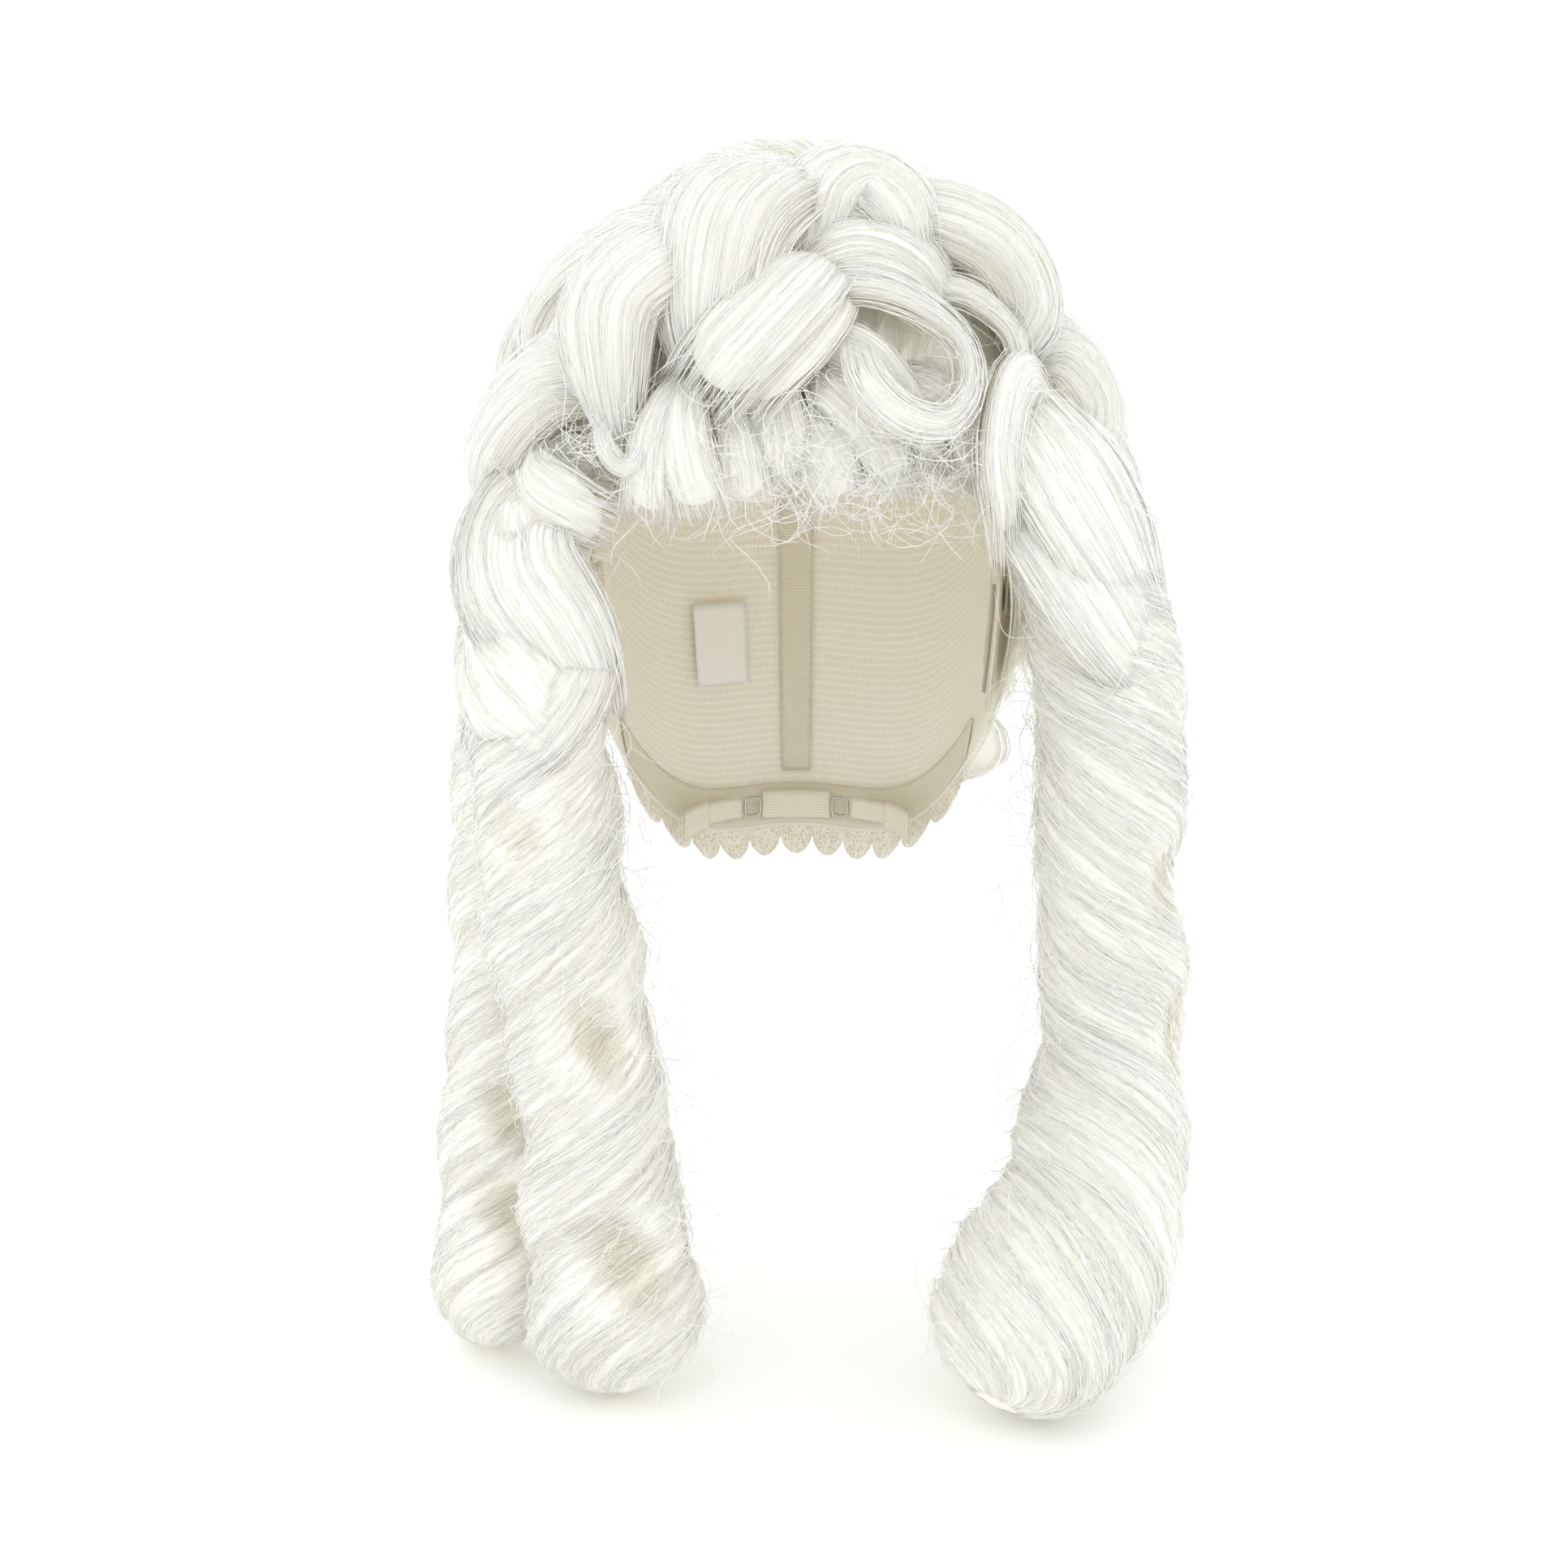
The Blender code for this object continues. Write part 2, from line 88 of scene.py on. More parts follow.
# The head that the cap fits, the same in every piece.
HEAD_HALF_WIDTH = 0.076
HEAD_HALF_DEPTH = 0.095
HEAD_UP = 0.104
HEAD_DOWN = 0.190
HEAD_LEVEL = 0.045
RIM_MEAN = -0.0055
RIM_FRONT_TO_NAPE = 0.086
RIM_FLATTEN = -0.012
BAND_HEIGHT = 0.016
CROWN_PANEL_EDGE = 62.0
EAR_AZIMUTH = 88.0
NAPE_ARC_CENTER_Y = 0.0252

# How finely a lock's centre line is laid out and read.
GUIDE_SAMPLES = 240
RUN_SAMPLES = 160

# Fibres draw together into this many clumps round a lock, and start within this share of its root.
CLUMPS_ROUND = 21.0
ROOT_SPREAD = 0.12
FIBRE_SWAY = 0.25 * MM
HALO_REACH = 3.0 * MM

# A ringlet goes on past its last guide by this share of the radius, where its round foot ends.
FOOT_SHARE = 0.96
# Its fibres fall between these heights, and the first of them start above its top.
RINGLET_FALL = (0.055, 0.105)
RINGLET_LEAD_IN = 0.045
SHORTEST_FALL = 0.012
FOOT_MARGIN = 0.0008
FLOOR_MARGIN = 0.0002

# The combed hair under the locks: its top (degrees), its least lift (m), and its front and back
# parts as middle azimuth, reach to each side (degrees) and how many fibres.
UNDER_HAIR_TOP = 88.5
UNDER_HAIR_BASE = 0.0012
UNDER_HAIR_PARTS = ((0.0, 118.0, 2400), (180.0, 63.0, 900))

# How far loose fibres may stray beyond the wig's own box, and how high they stay above its foot.
STRAY_ROOM = 0.008
STRAY_FLOOR = 0.0003

# How far the cap's layers lie from the net, inwards.
BAND_LIFT = -0.0017
RIBBON_LIFT = -0.0022
TAB_LIFT = -0.0042
LACE_LIFT = 0.0011
# Heights and radii of the nape straps round the centre of the nape.
TAPE_HEIGHTS = (-0.0760, -0.0650)
STRAP_HEIGHTS = (-0.0745, -0.0665)
HOOK_HEIGHT = -0.0705
HOOK_RADIUS = 0.0431

# ---------------------------------------------------------------------------------------------
# Guides. Locks on the head: azimuth, elevation, lift, half width, half thickness (mm), root first.

CROWN_LOCKS = {
    "crown_roll_left": (
        ((4, 66, 4, 20, 6), (-12, 66, 20, 25, 10), (-20, 50, 29, 23, 12), (-20, 37, 27, 18, 10),
         (-20, 27, 18, 9, 6)),
        ((12, 78, 4, 18, 6), (-20, 76, 16, 22, 8), (-34, 60, 22, 20, 9), (-34, 48, 18, 14, 8)),
    ),
    "crown_tip_left": (
        ((6, 52, 12, 9, 3), (4, 46, 21, 12, 4), (-1, 40, 28, 15, 5), (-8, 33, 31, 16, 6),
         (-15, 27, 30, 16, 6),
         (-22, 21, 24, 15, 5)),
        ((10, 47, 12, 7, 3), (6, 39, 22, 10, 4), (0, 32, 26, 11, 5), (-7, 26, 26, 11, 5),
         (-13, 20, 21, 9, 4)),
    ),
    "crown_roll_right": (
        ((-3, 44, 4, 6, 3), (3, 52, 16, 12, 6), (10, 59, 26, 17, 8), (24, 60, 30, 19, 9),
         (33, 54, 28, 16, 9),
         (37, 45, 18, 9, 6)),
        ((4, 80, 4, 16, 6), (24, 74, 18, 20, 8), (38, 64, 22, 20, 9), (46, 54, 20, 14, 8)),
        ((-1, 50, 6, 8, 3), (8, 50, 17, 15, 6), (18, 49, 23, 18, 7), (30, 45, 24, 15, 6),
         (40, 38, 20, 9, 4)),
    ),
}

TEMPLE_LOCKS = {
    "temple_roll_left_1": (
        ((-24, 52, 6, 18, 5), (-34, 46, 26, 22, 10), (-40, 34, 34, 21, 12), (-38, 24, 29, 14, 9),
         (-37, 15, 18, 6, 4)),
        ((-38, 21, 27, 4, 3), (-38, 16, 27, 4, 2.5), (-34, 13, 25, 3.5, 2), (-29, 15, 26, 3, 2),
         (-30, 21, 24, 2, 1)),
    ),
    "temple_roll_left_2": (
        ((-50, 60, 4, 16, 6), (-62, 54, 20, 19, 8), (-70, 42, 27, 18, 9), (-74, 32, 28, 14, 9),
         (-74, 24, 22, 8, 6)),
        ((-88, 46, 6, 14, 5), (-86, 36, 24, 17, 8), (-84, 27, 29, 16, 9), (-84, 19, 26, 10, 6)),
        ((-44, 30, 8, 12, 5), (-56, 25, 27, 16, 9), (-66, 15, 34, 17, 10), (-73, 7, 29, 13, 9),
         (-73, 0, 18, 7, 5)),
    ),
    "temple_roll_left_3": (
        ((-100, 38, 5, 12, 5), (-100, 26, 20, 15, 8), (-98, 16, 23, 15, 9), (-97, 6, 18, 9, 6)),
        ((-76, 16, 14, 7, 4), (-86, 10, 25, 10, 6), (-88, 3, 25, 10, 6), (-86, -3, 18, 6, 5)),
    ),
    "temple_roll_right_1": (
        ((34, 60, 5, 14, 5), (47, 56, 24, 20, 9), (57, 45, 31, 21, 11), (58, 34, 30, 15, 10),
         (54, 28, 20, 7, 5)),
        ((66, 62, 5, 16, 5), (74, 50, 22, 18, 9), (76, 38, 26, 15, 9), (74, 30, 20, 9, 6)),
    ),
    "temple_roll_right_2": (
        ((54, 33, 10, 9, 4), (66, 29, 28, 15, 8), (70, 19, 33, 17, 10), (66, 10, 29, 14, 8),
         (58, 2, 16, 7, 4)),
    ),
    "temple_roll_right_3": (
        ((100, 38, 5, 12, 5), (100, 26, 20, 15, 8), (97, 16, 23, 15, 9), (95, 6, 18, 9, 6)),
        ((84, 40, 6, 13, 5), (84, 28, 24, 16, 8), (84, 16, 27, 16, 9), (82, 6, 20, 10, 6)),
    ),
}

# Two rolls behind each ear, then combed lengths that fall over the ear between the temple rolls
# and the back. They are the same on both sides.
SIDE_LOCKS = (
    ((110, 66, 6, 13, 5), (114, 52, 19, 16, 9), (114, 36, 23, 16, 10), (112, 22, 20, 12, 7),
     (108, 14, 12, 6, 4)),
    ((106, 30, 6, 13, 5), (112, 16, 19, 16, 9), (114, 2, 22, 17, 10), (113, -9, 20, 14, 8),
     (111, -17, 12, 7, 4)),
    ((60, 76, 5, 16, 5), (68, 64, 15, 20, 7), (75, 50, 20, 22, 8), (69, 36, 23, 22, 8),
     (75, 22, 21, 20, 7), (81, 10, 16, 15, 5)),
    ((84, 80, 5, 16, 5), (91, 66, 15, 20, 7), (94, 50, 19, 23, 8), (85, 34, 22, 22, 8),
     (90, 19, 21, 20, 7), (96, 5, 15, 15, 5)),
    ((104, 78, 5, 15, 5), (105, 62, 15, 20, 7), (107, 46, 19, 21, 8), (98, 30, 21, 21, 8),
     (102, 15, 20, 19, 7),
     (108, 0, 14, 14, 5)),
    ((92, 18, 5, 14, 4), (98, 6, 14, 19, 6), (106, -5, 17, 20, 6), (111, -15, 13, 15, 5)),
    ((76, 30, 10, 12, 4), (80, 20, 24, 18, 6), (86, 10, 24, 18, 6), (84, 1, 16, 13, 4)),
)

FRINGE_LOCKS = {
    "fringe_tuft_1": (
        ((-24, 28, 10, 5, 2), (-26, 24, 21, 7, 3.5), (-28, 16, 24, 9, 4.5), (-31, 4, 17, 11, 4)),
    ),
    "fringe_tuft_2": (
        ((-22, 28, 10, 4, 2), (-23, 24, 22, 6, 3.5), (-21, 16, 25, 9, 4.5), (-18, 5, 17, 11, 4)),
    ),
    "fringe_tuft_3": (
        ((-18, 26, 8, 4, 2), (-14, 21, 17, 6, 3), (-12, 15, 17, 8, 3.5), (-11, 7, 12, 9, 3)),
    ),
    "fringe_tuft_4": (
        ((-8, 34, 8, 6, 3), (-6, 26, 17, 8, 3.5), (-4, 19, 16, 9, 3.5), (-3, 10, 10, 10, 3)),
    ),
    "fringe_lock_right": (
        ((-3, 33, 7, 5, 2), (5, 34, 17, 8, 3), (14, 31, 19, 9, 3.5), (21, 26, 16, 9, 3.5),
         (29, 19, 13, 9, 3), (36, 12, 9, 8, 2.5)),
        ((0, 29, 7, 5, 2), (6, 27, 15, 8, 3), (13, 22, 15, 9, 3), (20, 15, 12, 8, 2.5), (25, 9, 8, 7, 2)),
        ((-2, 25, 7, 5, 2), (2, 21, 13, 8, 3), (6, 15, 13, 9, 3), (10, 8, 9, 8, 2)),
        ((24, 30, 10, 6, 2), (32, 25, 17, 8, 3), (37, 18, 17, 8, 3), (40, 9, 12, 7, 2.5)),
    ),
    "hairline_lock": (((3, 15, 5, 3, 1.5), (15, 13, 9, 4.5, 2), (31, 13, 7, 4, 2)),),
    "forelock_left": (
        ((-50, 14, 10, 6, 3), (-57, 13, 25, 10, 4), (-54, 9, 29, 12, 5), (-46, 6, 25, 12, 5),
         (-37, 3, 16, 10, 4)),
    ),
    "hook_lock_right": (
        ((72, 10, 8, 5, 3), (62, 20, 20, 8, 4), (51, 25, 28, 8, 4), (42, 22, 31, 8, 4), (38, 14, 29, 8, 4),
         (41, 6, 24, 8, 4.5), (46, -2, 18, 8.5, 4)),
    ),
}

RING_LOCKS = {
    "ring_curl_front": (
        (-4, 40, 8, 4, 2), (9, 42, 21, 6, 2.5), (22, 38, 28, 5, 2.5), (32, 31, 31, 3.5, 2),
        (33, 24, 31, 3.5, 2),
        (27, 19, 30, 4.5, 2), (19, 20, 29, 6, 2.5), (13, 25, 28, 6, 2.5), (11, 32, 27, 4.5, 2),
    ),
    "ring_curl_side": (
        (26, 44, 10, 4, 3), (40, 40, 25, 6, 2.5), (48, 32, 30, 5, 2.5), (48, 25, 28, 4, 2),
        (43, 22, 25, 3, 2),
        (41, 28, 22, 3, 2),
    ),
}

CROWN_CURL = (
    (-102, 50, 17, 9, 9), (-108, 62, 18, 12, 12), (-122, 74, 19, 13, 12), (180, 81, 19, 13, 12),
    (122, 74, 19, 13, 12), (108, 62, 18, 12, 12), (102, 50, 17, 9, 9),
)

# Rows of barrel curls over the back: height on the dome, how many, and the azimuths they span.
BACK_ROWS = (
    (62, 2, 142, 218), (46, 4, 112, 248), (31, 4, 118, 242), (15, 4, 118, 242),
    (0, 4, 116, 244), (-9, 4, 116, 244), (-18, 4, 116, 244), (-27, 3, 130, 230),
)
BACK_CURL_RADIUS = 0.0160
BACK_CURL_LIFT = 0.0190

# Hanging ringlets. The route is x, y, z and radius (mm) down the centre line. The winding is 1 or
# -1, for the two ways that the fibre can wind. The pitch is one full turn (mm). Start and bands
# place the grooves, and depth says how deep they are as a share of the radius. A hollow is its
# distance down (mm), place round (degrees, 90 is the front), half sizes (mm, degrees) and depth.
# The hinge is the stretch (m) over which the ringlet bends where it leaves the cap.
RINGLETS = {
    "ringlet_left_front": {
        "route": (
            (-84, -74, 12, 20), (-84, -74, -30, 24), (-80, -73, -80, 26), (-72, -72, -130, 26),
            (-66, -78, -180, 28), (-62, -88, -209, 31),
        ),
        "winding": 1.0, "pitch": 90.0, "start": 0.30, "bands": 2, "depth": 0.13,
        "hollows": ((55, 115, 11, 30, 0.20), (128, 66, 15, 30, 0.42), (210, 68, 15, 32, 0.38)),
        "hinge": ((-0.084, -0.074, -0.012), (-0.084, -0.074, -0.058)),
        "replaces": ("ringlet_left_front",),
    },
    "ringlet_left_outer": {
        "route": (
            (-88, -10, 72, 12), (-95, -15, 42, 19), (-98, -19, 10, 21), (-99, -20, -30, 22),
            (-102, -22, -80, 22), (-103, -28, -130, 22),
            (-105, -40, -180, 23), (-106, -52, -216, 24),
        ),
        "winding": 1.0, "pitch": 86.0, "start": 0.85, "bands": 2, "depth": 0.15,
        "hollows": ((232, 80, 12, 30, 0.28), (268, 70, 10, 40, 0.30)),
        "hinge": ((-0.098, -0.020, -0.012), (-0.098, -0.020, -0.058)),
        "replaces": ("ringlet_left_outer", "ringlet_root_left_outer"),
    },
    "ringlet_right_front": {
        "route": (
            (84, -58, 78, 14), (93, -58, 48, 22), (105, -54, -5, 26), (106, -54, -40, 26),
            (106, -56, -82, 25), (108, -64, -130, 27),
            (99, -84, -170, 33), (79, -106, -204, 35.5),
        ),
        "winding": -1.0, "pitch": 104.0, "start": 0.05, "bands": 2, "depth": 0.11,
        "hollows": ((150, 30, 14, 30, 0.2), (206, 20, 16, 30, 0.26)),
        "hinge": ((0.106, -0.054, -0.006), (0.106, -0.054, -0.064)),
        "replaces": ("ringlet_right_front",),
    },
    "ringlet_right_outer": {
        "route": (
            (101, -2, 54, 13), (105, -2, 25, 20), (107, -1, -30, 22), (110, -3, -80, 22),
            (112, -9, -130, 22),
            (113, -20, -180, 21), (112, -30, -214, 21),
        ),
        "winding": -1.0, "pitch": 86.0, "start": 0.50, "bands": 2, "depth": 0.17,
        "hollows": (),
        "hinge": ((0.106, -0.001, -0.012), (0.106, -0.001, -0.058)),
        "replaces": ("ringlet_right_outer",),
    },
}

# The gathered hair that the ringlets hang from: a short barrel on the left, and the locks swept
# over it and over the tops of the right ringlets (x, y, z, half width, half thickness in mm).
LEFT_ROOT_ROUTE = (
    (-86, -64, 62, 12), (-88, -68, 40, 20), (-86, -72, 10, 24), (-84, -74, -14, 24), (-84, -74, -25, 18),
)
LEFT_ROOT_LOCKS = (
    ((-80, -58, 70, 12, 3), (-91, -72, 55, 19, 4), (-91, -86, 38, 23, 4), (-79, -91, 20, 22, 4),
     (-69, -85, 2, 15, 3),
     (-63, -76, -12, 7, 2)),
    ((-66, -78, 26, 8, 2), (-76, -89, 8, 17, 3), (-90, -91, -8, 19, 3.5), (-103, -78, -20, 13, 3),
     (-106, -64, -28, 6, 2)),
)
RIGHT_ROOT_LOCKS = {
    "ringlet_root_right_front": (
        ((54, -44, 104, 13, 4), (70, -62, 92, 19, 5), (84, -76, 74, 22, 5), (99, -76, 50, 21, 4.5),
         (112, -66, 26, 14, 4),
         (120, -54, 8, 7, 2)),
        ((62, -58, 84, 11, 3), (76, -73, 64, 19, 4), (93, -79, 40, 21, 4.5), (108, -74, 16, 17, 4),
         (119, -62, -4, 8, 3)),
    ),
    "ringlet_root_right_outer": (
        ((70, -16, 104, 13, 5), (86, -30, 90, 18, 6), (98, -38, 68, 19, 6), (107, -36, 44, 15, 5),
         (114, -28, 24, 8, 3)),
        ((74, 14, 98, 12, 5), (88, 4, 80, 17, 6), (98, -4, 56, 18, 6), (107, -8, 32, 13, 5),
         (112, -8, 14, 7, 3)),
    ),
}


# ---------------------------------------------------------------------------------------------
# Sizes and colours that a user would change


class WigFibreSettings(bpy.types.PropertyGroup):
    """Sizes of the fibre and of the clumps it dries into"""

    fibre_width: FloatProperty(
        name="Fibre width",
        description="Width that one fibre is drawn",
        default=0.00036,
        min=0.0001,
        unit="LENGTH",
    )
    cover: FloatProperty(
        name="Cover",
        description="How many layers of fibre lie over each lock",
        default=1.42,
        min=0.2,
        max=4.0,
    )
    stray_width: FloatProperty(
        name="Stray width", description="Width of a loose fibre", default=0.00030, min=0.0001, unit="LENGTH"
    )
    stray_count: IntProperty(
        name="Strays", description="Loose fibres at the hairline", default=1100, min=0
    )


class WigColourSettings(bpy.types.PropertyGroup):
    """Colours of the wig's materials"""

    fibre: FloatVectorProperty(
        name="Fibre",
        description="Ivory of the light fibres",
        subtype="COLOR",
        size=3,
        default=(0.988, 0.986, 0.970),
    )
    # The warm fibre is the dark end of the fibres' tone: partly each fibre's random tone, and partly
    # painted shade for a lock's inner side, buried fibres and ringlet grooves. The combed bed is also
    # coloured from it.
    fibre_warm: FloatVectorProperty(
        name="Warm fibre",
        description="Ivory of the deeper fibres",
        subtype="COLOR",
        size=3,
        default=(0.982, 0.966, 0.860),
    )


class WigStageSettings(bpy.types.PropertyGroup):
    """Light and lens"""

    surround: FloatProperty(
        name="Surround",
        description="Strength of the white surround",
        default=1.30,
        min=0.0,
    )
    key: FloatProperty(
        name="Key light",
        description="Power of the soft key light",
        default=1.5,
        min=0.0,
        unit="POWER",
    )
    lens_angle: FloatProperty(
        name="Field of view",
        description="Angle that the picture takes in",
        default=0.59864,
        subtype="ANGLE",
    )


# ---------------------------------------------------------------------------------------------
# Places on the head, and smooth runs through guide points


def dome_points(azimuth, elevation, lift):
    """Points on the head, pushed out by lift (metres), for numbers or arrays."""
    turn = np.radians(azimuth)
    rise = np.radians(elevation)
    lift = np.asarray(lift, float)
    reach = np.where(np.asarray(elevation) > 0.0, HEAD_UP, HEAD_DOWN) + lift
    across = (HEAD_HALF_WIDTH + lift) * np.cos(rise) * np.sin(turn)
    along = -(HEAD_HALF_DEPTH + lift) * np.cos(rise) * np.cos(turn)
    return np.stack(np.broadcast_arrays(across, along, HEAD_LEVEL + reach * np.sin(rise)), axis=-1)


def dome_outward(spots):
    """Directions straight out of the head at the given points."""
    high = spots[..., 2] - HEAD_LEVEL
    reach = np.where(high > 0.0, HEAD_UP, HEAD_DOWN)
    slope = np.stack(
        (spots[..., 0] / HEAD_HALF_WIDTH**2, spots[..., 1] / HEAD_HALF_DEPTH**2, high / reach**2), axis=-1
    )
    return unit(slope)


def elevation_at(height):
    """The elevation whose point on the head stands at this height."""
    height = np.asarray(height, float)
    reach = np.where(height > HEAD_LEVEL, HEAD_UP, HEAD_DOWN)
    return np.degrees(np.arcsin(np.clip((height - HEAD_LEVEL) / reach, -1.0, 1.0)))


def rim_height(azimuth):
    """How high the cap's edge runs: low at the nape, high over the brow."""
    turn = np.radians(azimuth)
    return RIM_MEAN + RIM_FRONT_TO_NAPE * np.cos(turn) + RIM_FLATTEN * np.cos(3.0 * turn)


def unit(rows):
    """The same directions with length one."""
    return rows / np.maximum(np.linalg.norm(rows, axis=-1, keepdims=True), 1e-12)


def dice(name):
    """The same random numbers for a piece in every run."""
    return np.random.default_rng(zlib.crc32(name.encode()))


def smooth_rows(guides, count):
    """Rows read at even steps along a smooth curve through the guide rows."""
    rows = np.asarray(guides, float)
    ends = np.vstack((2.0 * rows[0] - rows[1], rows, 2.0 * rows[-1] - rows[-2]))
    place = np.linspace(0.0, len(rows) - 1.0, count)
    index = np.minimum(place.astype(int), len(rows) - 2)
    part = (place - index)[:, None]
    before, start, end, after = ends[index], ends[index + 1], ends[index + 2], ends[index + 3]
    square = part * part
    cube = square * part
    return 0.5 * (
        2.0 * start
        + (end - before) * part
        + (2.0 * before - 5.0 * start + 4.0 * end - after) * square
        + (3.0 * start - before - 3.0 * end + after) * cube
    )


class Run:
    """A lock's centre line, with its width direction, outward direction and half sizes."""

    def __init__(self, spots, sizes, outward):
        step = np.linalg.norm(np.diff(spots, axis=0), axis=1)
        gone = np.concatenate(([0.0], np.cumsum(step)))
        self.length = gone[-1]
        even = np.linspace(0.0, gone[-1], RUN_SAMPLES)
        spots = np.stack([np.interp(even, gone, spots[:, axis]) for axis in range(3)], axis=-1)
        sizes = np.stack([np.interp(even, gone, sizes[:, axis]) for axis in range(2)], axis=-1)
        outward = outward(spots)
        along = unit(np.gradient(spots, axis=0))
        outward = unit(outward - along * np.sum(outward * along, axis=-1, keepdims=True))
        across = np.cross(outward, along)
        self.rows = np.concatenate((spots, along, across, outward, sizes), axis=-1)
        bend = np.clip(np.sum(along[1:] * along[:-1], axis=-1), -1.0, 1.0)
        self.turning = float(np.degrees(np.arccos(bend)).sum())

    def read(self, part):
        """Centre, along, across, outward, half width and half thickness at parts of the length."""
        held = np.clip(part, 0.0, 1.0)
        place = held * (RUN_SAMPLES - 1)
        index = np.minimum(place.astype(int), RUN_SAMPLES - 2)
        share = (place - index)[..., None]
        row = self.rows[index] * (1.0 - share) + self.rows[index + 1] * share
        spot = row[..., 0:3] + row[..., 3:6] * ((part - held) * self.length)[..., None]
        return spot, row[..., 3:6], row[..., 6:9], row[..., 9:12], row[..., 12], row[..., 13]


def dome_run(guides):
    """A run over the head through azimuth, elevation, lift (mm) and half sizes (mm)."""
    azimuth, elevation, lift, wide, thick = np.asarray(guides, float).T
    azimuth = np.degrees(np.unwrap(np.radians(azimuth)))
    spots = dome_points(azimuth, elevation, lift * MM)
    rows = smooth_rows(np.column_stack((spots, wide * MM, thick * MM)), GUIDE_SAMPLES)
    return Run(rows[:, :3], rows[:, 3:5], dome_outward)


def free_run(guides, outward):
    """A run through x, y, z (mm) and one or two half sizes (mm), with one outward direction."""
    table = np.asarray(guides, float) * MM
    if table.shape[1] == 4:
        table = np.column_stack((table, table[:, 3]))
    rows = smooth_rows(table, GUIDE_SAMPLES)
    return Run(rows[:, :3], rows[:, 3:5], lambda spots: np.broadcast_to(outward, spots.shape))


# ---------------------------------------------------------------------------------------------
# Meshes: closed skins, sheets and laid fibres


def add_object(name, mesh, *looks):
    """An object in the scene with the given materials."""
    for look in looks:
        mesh.materials.append(look)
    made = bpy.data.objects.new(name, mesh)
    bpy.context.scene.collection.objects.link(made)
    return made


def grid_mesh(name, long_steps, round_steps, place, pattern, closed=True):
    """A grid whose corners are moved by place(along, around); a closed one has its seams merged."""
    bm = bmesh.new()
    bm.loops.layers.uv.new("UVMap")
    bmesh.ops.create_grid(bm, x_segments=long_steps, y_segments=round_steps, size=0.5, calc_uvs=True)
    mesh = bpy.data.meshes.new(name)
    bm.to_mesh(mesh)
    bm.free()
    spots = np.empty(len(mesh.vertices) * 3)
    mesh.vertices.foreach_get("co", spots)
    spots = np.round(spots.reshape(-1, 3) + 0.5, 6)
    mesh.vertices.foreach_set("co", place(spots[:, 0], spots[:, 1]).ravel())
    threads = np.empty(len(mesh.loops) * 2)
    mesh.uv_layers[0].data.foreach_get("uv", threads)
    threads = threads.reshape(-1, 2)
    mesh.uv_layers[0].data.foreach_set("uv", pattern(threads[:, 0], threads[:, 1]).ravel())
    bm = bmesh.new()
    bm.from_mesh(mesh)
    if closed:
        bmesh.ops.remove_doubles(bm, verts=bm.verts, dist=2e-6)
    bmesh.ops.recalc_face_normals(bm, faces=bm.faces)
    bm.to_mesh(mesh)
    bm.free()
    mesh.shade_smooth()
    return mesh


def mark(mesh, name, values):
    """A number for every vertex, which the materials read."""
    layer = mesh.attributes.get(name) or mesh.attributes.new(name, "FLOAT", "POINT")
    layer.data.foreach_set("value", np.asarray(values, np.float32))


def fibre_section():
    """The small three-sided section that every fibre is drawn with."""
    found = bpy.data.objects.get("fibre_section")
    if found:
        return found
    curve = bpy.data.curves.new("fibre_section", "CURVE")
    curve.dimensions = "2D"
    line = curve.splines.new("POLY")
    line.points.add(2)
    line.use_cyclic_u = True
    for index, point in enumerate(line.points):
        turn = FULL_TURN * index / 3.0
        point.co = (0.5 * math.cos(turn), 0.5 * math.sin(turn), 0.0, 1.0)
    found = bpy.data.objects.new("fibre_section", curve)
    bpy.context.scene.collection.objects.link(found)
    return found


def fibre_mesh(name, paths, width, tones, blunt=False):
    """One closed, tapering fibre along each path (paths: fibre, point, axis), in one mesh."""
    curve = bpy.data.curves.new(name, "CURVE")
    curve.dimensions = "3D"
    curve.bevel_mode = "OBJECT"
    curve.bevel_object = fibre_section()
    fibres, points = paths.shape[:2]
    taper = np.full(points, width)
    taper[0] = 0.0
    taper[-2] *= 0.8 if blunt else 0.6
    taper[-1] = 0.0
    rows = np.ones((points, 4))
    for path in paths:
        line = curve.splines.new("POLY")
        line.points.add(points - 1)
        rows[:, :3] = path
        line.points.foreach_set("co", rows.ravel())
        line.points.foreach_set("radius", taper)
    drawn = bpy.data.objects.new(name, curve)
    bpy.context.scene.collection.objects.link(drawn)
    bpy.context.view_layer.update()
    mesh = bpy.data.meshes.new_from_object(drawn.evaluated_get(bpy.context.evaluated_depsgraph_get()))
    bpy.data.objects.remove(drawn)
    bpy.data.curves.remove(curve)
    tones = tones if np.ndim(tones) == 2 else np.reshape(tones, (-1, 1))
    shades = np.broadcast_to(tones, (fibres, points))
    mark(mesh, "tone_and_shade", np.repeat(shades.ravel(), 3))
    bm = bmesh.new()
    bm.from_mesh(mesh)
    bm.verts.ensure_lookup_table()
    tips = []
    for start in range(0, fibres * points * 3, points * 3):
        tips += bm.verts[start:start + 3] + bm.verts[start + points * 3 - 3:start + points * 3]
    bmesh.ops.remove_doubles(bm, verts=tips, dist=1e-7)
    bm.to_mesh(mesh)
    bm.free()
    mesh.materials.clear()
    mesh.polygons.foreach_set("material_index", np.ones(len(mesh.polygons), np.int32))
    return mesh


def join(name, meshes, *looks):
    """One object from several meshes."""
    made = [add_object(name, mesh, *looks) for mesh in meshes]
    if len(made) > 1:
        chosen = {"active_object": made[0], "object": made[0], "selected_editable_objects": made}
        with bpy.context.temp_override(**chosen):
            bpy.ops.object.join()
    return made[0]


# ---------------------------------------------------------------------------------------------
# Hair on a run


